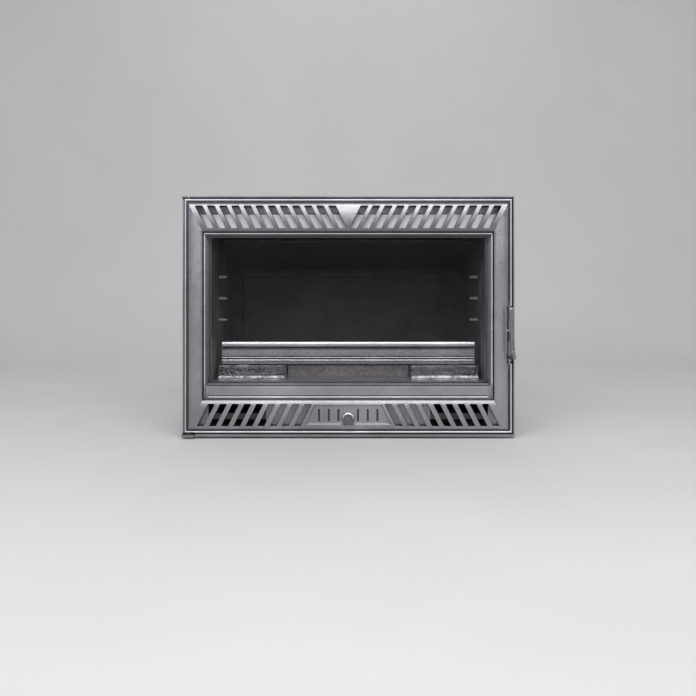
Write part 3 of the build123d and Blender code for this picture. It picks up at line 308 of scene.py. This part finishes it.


# log retainer: painted highlights on its beads and the crown of its roll, and black painted shade in the
# grooves between them
railPaintedLight = {
    "height": 0.0517,  # the lines are measured up from this far under its top
    "lines": (52.0, ((4.0, 0.8), (5.6, 0.9), (6.6, 2.0), (9.6, 2.0), (10.2, 0.15), (12.0, 0.15), (12.3, 1.9),
                     (15.1, 1.9), (15.4, 0.15), (17.5, 0.15), (17.8, 1.0), (30.0, 1.15), (33.6, 1.0),
                     (34.4, 0.25), (37.0, 0.7), (41.0, 1.9), (47.0, 1.9), (50.0, 0.9), (51.7, 0.6))),
}


def railShade(tree, place):
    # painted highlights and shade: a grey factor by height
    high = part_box("log_retainer")[1]
    return rings(tree, awayFrom(tree, place, "Z", high.z - railPaintedLight["height"]), *railPaintedLight["lines"])


# knob: its face and lower edge are darker, and a painted highlight lies on the upper half of its rounded edge
knobFaceAndHighlight = {
    "face": 0.6,
    # by mm from the middle
    "edge": (14.0, ((0.0, 0.55), (9.2, 0.6), (10.2, 2.3), (14.0, 2.3))),
    "upperHalf": (-0.001, 0.004),  # from the middle's height
}


def knobShade(tree, place):
    # painted highlight: a grey factor by sqrt(x^2 + z^2) in the upper half, the face's level in the lower
    low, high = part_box("shutter_knob")
    x = awayFrom(tree, place, "X", (low.x + high.x) / 2)
    z = awayFrom(tree, place, "Z", (low.z + high.z) / 2)
    square = calculated(tree, "ADD", calculated(tree, "MULTIPLY", x, x), calculated(tree, "MULTIPLY", z, z))
    edge = rings(tree, calculated(tree, "SQRT", square), *knobFaceAndHighlight["edge"])
    upper = rangeOf(tree, z, *knobFaceAndHighlight["upperHalf"], 0, 1)
    return mixed(tree, grey(knobFaceAndHighlight["face"]), edge, upper)


# polished iron: graphite rubbed on a sand casting, with painted shade darkening its grooves and its edges
# brightened, partly wear and partly painted highlight
polishedIron = {
    "dark": (0.31, 0.31, 0.329),
    "bright": (0.47, 0.47, 0.498),
    "tint": 1.0,
    "metallic": 0.9,
    "roughness": (0.27, 0.42),
    "cloud": (9, 5, 0.65),
    "cloudSpan": (0.3, 0.72),
    "grain": (820, 3, 0.7),
    "grainBump": (0.35, 0.00025),
    "speckle": ((0.3, (0.78, 0.78, 0.8)), (0.62, white), (0.78, grey(1.35))),
    "speckleShare": 0.8,
    "lumps": (150, 3, 0.55),
    "lumpBump": (0.3, 0.0004),
    "grooveShade": 0.12,
    "grooveReach": 0.006,
    "grooveSpan": (0.3, 0.8),
    "edgeGleam": 2.2,
    "edgeReach": 0.0015,
    "edgeSpan": (0.35, 0.7),
}
framePolish = dict(polishedIron, tint=0.85)
railPolish = dict(polishedIron, grooveShade=0.03, grooveReach=0.009, edgeGleam=2.6, roughness=(0.17, 0.27))
knobPolish = dict(polishedIron, tint=0.9, roughness=(0.16, 0.26))
pinPolish = dict(polishedIron, tint=0.9, metallic=0.35, roughness=(0.4, 0.6))
hearthPolish = dict(polishedIron, tint=1.15, metallic=0.7, roughness=(0.35, 0.55))


def makePolishedIron(name, look, shading=None):
    material, tree, shader = startMaterial(name, look["metallic"])
    place = objectPlace(tree)
    cloud = noise(tree, place, look["cloud"])
    grain = noise(tree, place, look["grain"])
    lumps = noise(tree, place, look["lumps"])
    dark, bright = (tuple(look["tint"] * part for part in look[key]) for key in ("dark", "bright"))
    colour = fade(tree, cloud, look["cloudSpan"], dark, bright)
    colour = tinted(tree, colour, ramp(tree, grain, *look["speckle"]), look["speckleShare"])
    # painted shade in the grooves, then the edges brightened as wear and painted highlight
    clear = hollows(tree, look["grooveReach"])
    colour = tinted(tree, colour, fade(tree, clear, look["grooveSpan"], grey(look["grooveShade"]), white))
    colour = tinted(tree, colour, edgeWearAndHighlight(tree, look))
    if shading is not None:
        colour = tinted(tree, colour, shading(tree, place))
    normal = bumped(tree, grain, look["grainBump"], bumped(tree, lumps, look["lumpBump"]))
    connect(tree, shader, colour, rangeOf(tree, lumps, *noiseSpan, *look["roughness"]), normal)
    return material


# firebox iron: near black, with a rough skin, greyer towards the bottom
fireboxIron = {
    "topColour": (0.012, 0.012, 0.013),
    "iron": (0.055, 0.056, 0.06),
    "ash": (0.15, 0.147, 0.145),
    "heights": (0.12, 0.41),  # from the low colour to the top colour
    "lowSpan": (0.35, 0.8),
    "highSpan": (0.35, 0.75),
    "metallic": 0.35,
    "roughness": (0.5, 0.78),
    "cloud": (11, 6, 0.65),
    "cloudBump": (0.2, 0.002),
    "grain": (520, 3, 0.7),
    "grainBump": (0.5, 0.0004),
}
sideIron = dict(fireboxIron, topColour=(0.01, 0.01, 0.012), iron=(0.16, 0.165, 0.18), ash=(0.36, 0.363, 0.38))


def makeFireboxIron(name, look):
    material, tree, shader = startMaterial(name, look["metallic"])
    place = objectPlace(tree)
    cloud = noise(tree, place, look["cloud"])
    grain = noise(tree, place, look["grain"])
    low = fade(tree, cloud, look["lowSpan"], look["iron"], look["ash"])
    high = fade(tree, cloud, look["highSpan"], look["topColour"], look["iron"])
    height = rangeOf(tree, axisOf(tree, place, "Z"), *look["heights"], 0, 1)
    normal = bumped(tree, grain, look["grainBump"], bumped(tree, cloud, look["cloudBump"]))
    roughness = rangeOf(tree, cloud, *noiseSpan, *look["roughness"])
    connect(tree, shader, mixed(tree, low, high, height), roughness, normal)
    return material


# glossy iron of the hearth blocks: thick black polish over a rough casting, its edges brightened as wear and
# painted highlight, and painted highlights along its lip and top edge
glossyIron = {
    "dark": (0.1, 0.1, 0.106),
    "worn": (0.4, 0.4, 0.42),
    "metallic": 0.85,
    "roughness": (0.12, 0.34),
    "cloud": (60, 5, 0.7),
    "cloudSpan": (0.36, 0.66),
    "grain": (420, 4, 0.75),
    "grainBump": (0.7, 0.0006),
    "edgeGleam": 2.3,
    "edgeReach": 0.002,
    "edgeSpan": (0.35, 0.7),
    # painted highlights, by mm over the foot
    "borders": (30.0, ((0.0, 2.2), (8.5, 2.2), (10.5, 1.0), (22.0, 1.0), (25.0, 1.5))),
}


def makeGlossyIron():
    look = glossyIron
    material, tree, shader = startMaterial("glossyIron", look["metallic"])
    place = objectPlace(tree)
    cloud = noise(tree, place, look["cloud"])
    grain = noise(tree, place, look["grain"])
    colour = fade(tree, cloud, look["cloudSpan"], look["dark"], look["worn"])
    # edges brightened as wear and painted highlight, then painted highlights on the lip and top edge by
    # height
    colour = tinted(tree, colour, edgeWearAndHighlight(tree, look))
    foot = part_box("hearth_block_right")[0].z
    colour = tinted(tree, colour, rings(tree, awayFrom(tree, place, "Z", foot), *look["borders"]))
    roughness = rangeOf(tree, grain, *noiseSpan, *look["roughness"])
    connect(tree, shader, colour, roughness, bumped(tree, grain, look["grainBump"]))
    return material


# sheet zinc: angular spangle with a dull bloom
sheetZinc = {
    "dull": (0.36, 0.38, 0.395),
    "bright": (0.6, 0.62, 0.635),
    "spangle": 75,
    "metallic": 0.85,
    "roughness": (0.44, 0.6),
    "bloom": (6, 5, 0.6),
    "bloomSpan": (0.35, 0.7),
    "bloomLevels": (0.8, 1.05),
    "bloomShare": 0.9,
    "grain": (300, 3, 0.6),
    "grainBump": (0.12, 0.0002),
}


def makeSheetZinc():
    look = sheetZinc
    material, tree, shader = startMaterial("sheetZinc", look["metallic"])
    place = objectPlace(tree)
    tone = cellTone(tree, place, look["spangle"])
    colour = fade(tree, tone, (0, 1), look["dull"], look["bright"])
    bloom = noise(tree, place, look["bloom"])
    patches = fade(tree, bloom, look["bloomSpan"], *map(grey, look["bloomLevels"]))
    colour = tinted(tree, colour, patches, look["bloomShare"])
    normal = bumped(tree, noise(tree, place, look["grain"]), look["grainBump"])
    connect(tree, shader, colour, rangeOf(tree, tone, 0, 1, *look["roughness"]), normal)
    return material


# rolled steel: dark mill skin drawn out along the sheet
rolledSteel = {
    "dark": (0.075, 0.078, 0.085),
    "bright": (0.21, 0.21, 0.22),
    "metallic": 0.9,
    "roughness": (0.32, 0.5),
    "stretch": (14, 160, 160),
    "drawn": (5, 5, 0.6),
    "drawnSpan": (0.3, 0.72),
    "drawnBump": (0.12, 0.0002),
    "cloud": (14, 4, 0.6),
    "cloudSpan": (0.35, 0.7),
    "cloudLevels": (0.72, 1.1),
    "cloudShare": 0.85,
}
panSteel = dict(rolledSteel, dark=(0.17, 0.156, 0.163), bright=(0.38, 0.355, 0.372), roughness=(0.42, 0.62),
                stretch=(30, 30, 30))  # browned by heat
zincBolt = dict(rolledSteel, dark=(0.4, 0.4, 0.39), bright=(0.68, 0.68, 0.67), roughness=(0.26, 0.4),
                stretch=(60, 60, 60))
turnedBrass = dict(rolledSteel, dark=(0.42, 0.29, 0.11), bright=(0.72, 0.54, 0.25), roughness=(0.22, 0.36),
                   stretch=(60, 60, 60))


def makeRolledSteel(name, look):
    material, tree, shader = startMaterial(name, look["metallic"])
    drawn = noise(tree, objectPlace(tree, look["stretch"]), look["drawn"])
    cloud = noise(tree, objectPlace(tree), look["cloud"])
    colour = fade(tree, drawn, look["drawnSpan"], look["dark"], look["bright"])
    patches = fade(tree, cloud, look["cloudSpan"], *map(grey, look["cloudLevels"]))
    colour = tinted(tree, colour, patches, look["cloudShare"])
    roughness = rangeOf(tree, drawn, *noiseSpan, *look["roughness"])
    connect(tree, shader, colour, roughness, bumped(tree, drawn, look["drawnBump"]))
    return material


# sheet behind the upper grille, its upright behind the step painted brighter as painted light where it lies
# in shade
paleZinc = {
    "dark": (0.3, 0.3, 0.315),
    "bright": (0.45, 0.45, 0.467),
    "upright": 2.2,  # how much brighter the upright is painted, a painted light
    "stepFront": 0.012,  # behind the sheet's front, where it starts to brighten
    "stepBack": 0.004,  # in front of its back, where it is brightest
    "metallic": 0.8,
    "roughness": (0.28, 0.42),
    "bloom": (40, 5, 0.65),
    "grain": (300, 3, 0.6),
    "grainBump": (0.15, 0.0002),
}


def makePaleZinc():
    look = paleZinc
    material, tree, shader = startMaterial("paleZinc", look["metallic"])
    place = objectPlace(tree)
    bloom = noise(tree, place, look["bloom"])
    colour = fade(tree, bloom, noiseSpan, look["dark"], look["bright"])
    # painted light: the upright behind the step is made brighter, by depth
    low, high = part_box("outlet_deflector")
    start, end = low.y + look["stepFront"], high.y - look["stepBack"]
    colour = tinted(tree, colour, rangeOf(tree, axisOf(tree, place, "Y"), start, end, 1, look["upright"]))
    normal = bumped(tree, noise(tree, place, look["grain"]), look["grainBump"])
    connect(tree, shader, colour, rangeOf(tree, bloom, *noiseSpan, *look["roughness"]), normal)
    return material


# glass: clear, with a faint haze
clearGlass = {
    "clear": (0.02, 0.022, 0.022),
    "hazed": (0.05, 0.053, 0.053),
    "haze": (7, 4, 0.6),
    "roughness": (0.02, 0.08),
    "alpha": 0.08,
}


def makeGlass():
    look = clearGlass
    material, tree, shader = startMaterial("clearGlass", 0.0)
    haze = noise(tree, objectPlace(tree), look["haze"])
    colour = fade(tree, haze, noiseSpan, look["clear"], look["hazed"])
    connect(tree, shader, colour, rangeOf(tree, haze, *noiseSpan, *look["roughness"]))
    shader.inputs["Alpha"].default_value = look["alpha"]
    return material


# fibre of the seals: charred strands, drawn along the rope
ropeFibre = {
    "dark": (0.028, 0.028, 0.03),
    "bright": (0.15, 0.148, 0.145),
    "roughness": 0.85,
    "specular": 0.3,
    "sheen": 0.25,
    "stretch": (1, 6, 1),
    "strandOnRope": (4, 4, 0.7),  # by the rope's own UV map
    "strand": (160, 4, 0.7),
    "strandSpan": (0.32, 0.7),
    "cloud": (30, 4, 0.6),
    "cloudSpan": (0.35, 0.7),
    "cloudLevels": (0.6, 1.1),
    "cloudShare": 0.8,
    "fluff": (1500, 2, 0.6),
    "fluffBump": (0.5, 0.0003),
}


def makeRopeFibre(name, ownMap):
    # ownMap: the piece has a UV map that follows the rope
    look = ropeFibre
    material, tree, shader = startMaterial(name, 0.0, look["roughness"], look["specular"])
    shader.inputs["Sheen Weight"].default_value = look["sheen"]
    place = objectPlace(tree)
    if ownMap:
        own = tree.nodes.new("ShaderNodeUVMap")
        own.uv_map = "UVMap"
        mapping = tree.nodes.new("ShaderNodeMapping")
        mapping.inputs["Scale"].default_value = look["stretch"]
        tree.links.new(own.outputs["UV"], mapping.inputs["Vector"])
        strand = noise(tree, mapping.outputs["Vector"], look["strandOnRope"])
    else:
        strand = noise(tree, objectPlace(tree, look["stretch"]), look["strand"])
    colour = fade(tree, strand, look["strandSpan"], look["dark"], look["bright"])
    cloud = noise(tree, place, look["cloud"])
    patches = fade(tree, cloud, look["cloudSpan"], *map(grey, look["cloudLevels"]))
    colour = tinted(tree, colour, patches, look["cloudShare"])
    fluff = noise(tree, place, look["fluff"])
    connect(tree, shader, colour, normal=bumped(tree, fluff, look["fluffBump"]))
    return material


doorIron = makePolishedIron("doorIron", polishedIron, castShade)
frameIron = makePolishedIron("frameIron", framePolish, seatShade)
railIron = makePolishedIron("railIron", railPolish, railShade)
handleIron = makePolishedIron("handleIron", framePolish)
knobIron = makePolishedIron("knobIron", knobPolish, knobShade)
pinIron = makePolishedIron("pinIron", pinPolish)
hearthIron = makePolishedIron("hearthIron", hearthPolish)
fireboxFinish = makeFireboxIron("fireboxIron", fireboxIron)
sides = makeFireboxIron("sideIron", sideIron)
glossy = makeGlossyIron()
zinc = makeSheetZinc()
pale = makePaleZinc()
rolled = makeRolledSteel("rolledSteel", rolledSteel)
pan = makeRolledSteel("panSteel", panSteel)
bolts = makeRolledSteel("zincBolt", zincBolt)
brass = makeRolledSteel("turnedBrass", turnedBrass)
glass = makeGlass()
gasketFibre = makeRopeFibre("gasketFibre", False)
braidFibre = makeRopeFibre("braidFibre", True)
print("materials made:", len(bpy.data.materials))


# finish of each material slot, and of the nodes that have their own
finishes = {
    "polished_iron": frameIron, "dark_iron": fireboxFinish, "glazed_iron": glossy, "pan_steel": pan,
    "galvanised_sheet": zinc, "carriage_steel": rolled, "bright_steel": bolts, "brass": brass,
    "clear_glass": glass, "rope": gasketFibre,
}
ownFinishes = {
    "door": doorIron, "outlet_deflector": pale, "log_retainer": railIron, "latch_handle": handleIron,
    "shutter_knob": knobIron, "rack_pins": pinIron, "firebox_base": hearthIron,
    "firebox_right_side": sides, "firebox_left_side": sides,
}
for entry in frame["record"]["subparts"]:
    finish = ownFinishes.get(entry["node"], finishes[entry["material_slot"]])
    for slot in nodes[entry["node"]].material_slots:
        slot.material = finish
print("finishes given to the nodes")


# cast and bent pieces whose edges show: node and the width of its rounding
softEdges = {
    "front_frame": 0.0006, "hearth_block_right": 0.0015, "hearth_block_left": 0.0015, "grate": 0.0008,
    "ash_pan": 0.0005, "fireback": 0.001, "smoke_baffle": 0.0008, "latch_cam": 0.0004, "latch_keeper": 0.0004,
    "support_rail_right": 0.0005, "support_rail_left": 0.0005, "baffle_rests": 0.0006,
}
softening = {
    "merge": 1e-6,  # points nearer than this are one
    "flat": 0.6,  # degrees, faces that meet at less are joined
    "corner": 38,  # degrees, edges that turn more are rounded
    "segments": 2,
}
bodyOfNode = {}
for body, names in frame["record"]["behaviour"]["bodies"].items():
    for name in names:
        bodyOfNode[name] = body


def softenedCopy(name, width):
    # the node's mesh, merged, its flat faces joined and every sharp edge rounded by width
    source = nodes[name]
    shape = bmesh.new()
    shape.from_mesh(source.data)
    bmesh.ops.remove_doubles(shape, verts=shape.verts, dist=softening["merge"])
    flat, corner = math.radians(softening["flat"]), math.radians(softening["corner"])
    bmesh.ops.dissolve_limit(shape, angle_limit=flat, verts=shape.verts, edges=shape.edges)
    mesh = bpy.data.meshes.new(name + "Soft")
    shape.to_mesh(mesh)
    shape.free()
    mesh.materials.append(source.material_slots[0].material)
    piece = bpy.data.objects.new(name + "Soft", mesh)
    bpy.context.scene.collection.objects.link(piece)
    mesh.shade_smooth()
    mesh.set_sharp_from_angle(angle=corner)
    bevel = piece.modifiers.new("softEdges", "BEVEL")
    bevel.width = width
    bevel.segments = softening["segments"]
    bevel.limit_method = "ANGLE"
    bevel.angle_limit = corner
    bevel.harden_normals = True
    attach(piece, bodyOfNode[name])
    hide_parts(name)


for name, width in softEdges.items():
    softenedCopy(name, width)
print("edges softened:", len(softEdges))


def surfaceMesh(name, grid, closed=False, uvStep=None):
    # quads over an array of points (along, across, 3), joined end to end both ways if closed;
    # uvStep is what one quad takes of the UV map, along and across
    rows, columns = grid.shape[:2]
    index = np.arange(rows * columns).reshape(rows, columns)
    if closed:
        index = np.vstack([index, index[:1]])
        index = np.hstack([index, index[:, :1]])
    quads = np.stack([index[:-1, :-1], index[:-1, 1:], index[1:, 1:], index[1:, :-1]], axis=-1)
    mesh = bpy.data.meshes.new(name)
    mesh.from_pydata(grid.reshape(-1, 3).tolist(), [], quads.reshape(-1, 4).tolist())
    if uvStep is not None:
        layer = mesh.uv_layers.new(name="UVMap")
        s, t = np.meshgrid(np.arange(index.shape[0] - 1), np.arange(index.shape[1] - 1), indexing="ij")
        order = ((0, 0), (0, 1), (1, 1), (1, 0))
        corners = np.stack([np.stack([s + ahead, t + beside], -1) for ahead, beside in order], axis=2)
        corners = corners.reshape(-1, 2).astype(np.float32)
        corners *= np.array(uvStep, np.float32)
        layer.data.foreach_set("uv", corners.ravel())
    mesh.shade_smooth()
    mesh.update()
    return mesh


def putPiece(name, mesh, material, body):
    mesh.materials.append(material)
    piece = bpy.data.objects.new(name, mesh)
    bpy.context.scene.collection.objects.link(piece)
    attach(piece, body)
    return piece


# rope seal: a braid laid in the door's groove
rope = {
    "radius": 0.00345,
    "inset": 0.0035,  # from the outside of the groove to the rope's centre line
    "corner": 0.009,
    "cornerSteps": 24,
    "strand": 0.0075,  # length of one strand's crest along the rope
    "relief": 0.00045,
    "starts": 4,
    "around": 20,
    "perStrand": 7,
    "uvStep": (0.5, 0.2),
}


def roundedRectangle(x0, x1, z0, z1, radius, count):
    # count points at even steps round four quarter circles, with the outward direction at each
    quarter = math.pi / 2
    turn = np.linspace(0, quarter, rope["cornerSteps"])
    centres = [(x1 - radius, z1 - radius), (x0 + radius, z1 - radius), (x0 + radius, z0 + radius),
               (x1 - radius, z0 + radius)]
    facing = [np.stack([np.cos(turn + k * quarter), np.sin(turn + k * quarter)], -1) for k in range(4)]
    path = np.concatenate([np.array(centre) + radius * way for centre, way in zip(centres, facing)])
    facing = np.concatenate(facing)
    path = np.vstack([path, path[:1]])
    facing = np.vstack([facing, facing[:1]])
    length = np.concatenate([[0], np.cumsum(np.linalg.norm(np.diff(path, axis=0), axis=1))])
    at = np.linspace(0, length[-1], count, endpoint=False)
    point = np.stack([np.interp(at, length, path[:, k]) for k in range(2)], -1)
    out = np.stack([np.interp(at, length, facing[:, k]) for k in range(2)], -1)
    return point, out / np.linalg.norm(out, axis=1, keepdims=True)


def braidedSeal():
    # tube along the outline; its radius is whole on the crests of two opposite families of helices,
    # |sin(starts/2 * angle +- distance)|, and falls by twice the relief between them
    low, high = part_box("door_rope_seal")
    inset = rope["inset"]
    outline = 2 * (high.x - low.x + high.z - low.z)
    strands = 2 * round(outline / rope["strand"] / 2)  # an even number closes the braid
    count = strands * rope["perStrand"]
    point, out = roundedRectangle(low.x + inset, high.x - inset, low.z + inset, high.z - inset,
                                  rope["corner"], count)
    around = np.arange(rope["around"]) / rope["around"] * 2 * math.pi
    along = np.arange(count) / rope["perStrand"] * math.pi
    right = np.abs(np.sin(rope["starts"] / 2 * around[None, :] + along[:, None]))
    left = np.abs(np.sin(rope["starts"] / 2 * around[None, :] - along[:, None]))
    size = rope["radius"] - rope["relief"] * (1 - np.maximum(right, left)) * 2
    y = high.y - rope["radius"] + size * np.cos(around)[None, :]
    reach = size * np.sin(around)[None, :]
    grid = np.stack([point[:, :1] + out[:, :1] * reach, y, point[:, 1:] + out[:, 1:] * reach], -1)
    mesh = surfaceMesh("ropeSeal", grid, True, rope["uvStep"])
    piece = putPiece("ropeSeal", mesh, braidFibre, "door")
    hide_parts("door_rope_seal")


braidedSeal()
print("rope seal braided")


# embossed plates on the sloping fronts of the hearth blocks
emboss = {
    "inner": 0.135,  # sideways from the middle of the fireplace
    "outerFront": 0.279,
    "outerBack": 0.287,
    "slopeFoot": 0.007,  # height over the block's foot at which the slope starts
    "slopeDepth": 0.052,
    "margin": 0.0012,  # bare edge of the slope
    "rim": 0.0045,
    "rimHeight": 0.0018,
    "rimEase": 0.0012,
    "pebble": 0.0062,
    "pebbleHeight": 0.0013,
    "pebbleEase": 0.002,
    "pebbleReach": 0.72,  # radius of a lump, in pebbles
    "pebbleSizes": (0.55, 1.0),
    "field": ((-0.01, -0.01), (0.17, 0.08)),  # where lumps are scattered, from the plate's inner foot
    "proud": 0.0001,  # of the block's own slope
    "sunkEdge": 0.001,
    "columns": 150,
    "rows": 64,
    "seed": 7,
}


def pebbles(u, v, random):
    # rounded lumps: size * sqrt(1 - (distance / radius)^2), by distance to the nearest scattered point
    corner, far = np.array(emboss["field"])
    spots = random.uniform(corner, far, (int(np.prod(far - corner) / emboss["pebble"] ** 2), 2))
    sizes = random.uniform(*emboss["pebbleSizes"], len(spots))
    gap = np.hypot(u[..., None] - spots[:, 0], v[..., None] - spots[:, 1])
    nearest = gap.argmin(-1)
    distance = np.take_along_axis(gap, nearest[..., None], -1)[..., 0]
    radius = emboss["pebble"] * emboss["pebbleReach"]
    return sizes[nearest] * np.sqrt(np.clip(1 - (distance / radius) ** 2, 0, 1))


def embossedFront(side):
    # flat quadrilateral on the slope, lifted by the rim at its border and by the lumps inside it
    low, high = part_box("hearth_block_right")
    front = np.array([low.y, low.z + emboss["slopeFoot"]])
    back = np.array([low.y + emboss["slopeDepth"], high.z])
    length = np.linalg.norm(back - front)
    slope = (back - front) / length
    normal = np.array([-slope[1], slope[0]])
    v, u = np.mgrid[0:1:emboss["rows"] * 1j, 0:1:emboss["columns"] * 1j]
    margin = emboss["margin"]
    outer = emboss["outerFront"] + (emboss["outerBack"] - emboss["outerFront"]) * v
    width = outer - emboss["inner"] - 2 * margin
    x = emboss["inner"] + margin + width * u
    run = margin + (length - 2 * margin) * v
    edge = np.minimum(np.minimum(u * width, (1 - u) * width), np.minimum(v, 1 - v) * length)
    rim = emboss["rimHeight"] * np.clip((emboss["rim"] - edge) / emboss["rimEase"], 0, 1)
    inside = np.clip((edge - emboss["rim"]) / emboss["pebbleEase"], 0, 1)
    random = np.random.default_rng(emboss["seed"] + int(side > 0))
    height = rim + inside * emboss["pebbleHeight"] * pebbles(x - emboss["inner"], run, random)
    atBorder = edge < 1e-9
    height = np.where(atBorder, -emboss["sunkEdge"], height + emboss["proud"])
    y = front[0] + slope[0] * run + normal[0] * height
    z = front[1] + slope[1] * run + normal[1] * height
    grid = np.stack([side * x, y, z], -1)
    if side < 0:
        grid = grid[:, ::-1]  # its faces point outwards too
    name = "embossedFront" + ("Right" if side > 0 else "Left")
    putPiece(name, surfaceMesh(name, grid), glossy, "insert_body")


for side in (1, -1):
    embossedFront(side)
print("hearth blocks embossed")


# floor and backdrop: one sheet curved up behind the object
stageLook = {
    "colour": (0.8, 0.8, 0.785),
    "lighter": 1.04,
    "paper": (2.5, 3, 0.5),
    "roughness": 0.9,
    "specular": 0.2,
    "width": 9.0,
    "front": -4.0,
    "back": 2.2,
    "bend": 0.8,
    "bendSteps": 16,
    "height": 4.0,
}


def sweepStage():
    # floor, quarter round and upright as one profile (y, z), carried along X
    turn = np.linspace(0, math.pi / 2, stageLook["bendSteps"])
    bend, back = stageLook["bend"], stageLook["back"]
    profile = np.vstack([[[stageLook["front"], 0]],
                         np.stack([back - bend + bend * np.sin(turn), bend - bend * np.cos(turn)], -1),
                         [[back, stageLook["height"]]]])
    across = np.array([-0.5, 0.5]) * stageLook["width"]
    grid = np.stack(np.broadcast_arrays(across[None, :], profile[:, :1], profile[:, 1:]), -1)
    mesh = surfaceMesh("stage", grid[:, ::-1])
    roughness, specular = stageLook["roughness"], stageLook["specular"]
    material, tree, shader = startMaterial("stagePaper", 0.0, roughness, specular)
    colour = stageLook["colour"]
    lighter = tuple(min(1, part * stageLook["lighter"]) for part in colour)
    paper = noise(tree, objectPlace(tree), stageLook["paper"])
    connect(tree, shader, fade(tree, paper, noiseSpan, colour, lighter))
    mesh.materials.append(material)
    stage = bpy.data.objects.new("stage", mesh)
    bpy.context.scene.collection.objects.link(stage)


sweepStage()


# lamps: place, aim, width, height, radiance
lamps = {
    "overhead": ((0.0, -1.7, 1.95), (0.0, -0.15, 0.3), 2.4, 0.7, 3.9),
    "front": ((0.0, -2.9, 1.4), (0.0, -0.2, 0.3), 3.4, 0.8, 3.2),
    "left": ((-2.6, -1.3, 1.4), (0.0, -0.1, 0.25), 0.9, 1.5, 1.2),
    "right": ((2.6, -1.3, 1.4), (0.0, -0.1, 0.25), 0.9, 1.5, 1.2),
    "behind": ((0.0, 1.9, 2.2), (0.0, 0.2, 0.3), 1.6, 1.0, 1.2),
}
for name, (spot, aim, width, height, radiance) in lamps.items():
    data = bpy.data.lights.new(name, "AREA")
    data.shape = "RECTANGLE"
    data.size = width
    data.size_y = height
    data.energy = radiance * math.pi * width * height
    lamp = bpy.data.objects.new(name, data)
    lamp.location = spot
    direction = np.array(aim) - np.array(spot)
    flat = math.hypot(direction[0], direction[1])
    lamp.rotation_euler = (math.atan2(flat, -direction[2]), 0, math.atan2(-direction[0], direction[1]))
    bpy.context.scene.collection.objects.link(lamp)

# light from all round
room = {"colour": (0.6, 0.61, 0.63), "strength": 0.5}
world = bpy.data.worlds.new("room")
world.use_nodes = True
background = world.node_tree.nodes["Background"]
background.inputs["Color"].default_value = (*room["colour"], 1)
background.inputs["Strength"].default_value = room["strength"]
bpy.context.scene.world = world
bpy.context.scene.view_settings.view_transform = "Standard"
print("stage, lamps and world set")
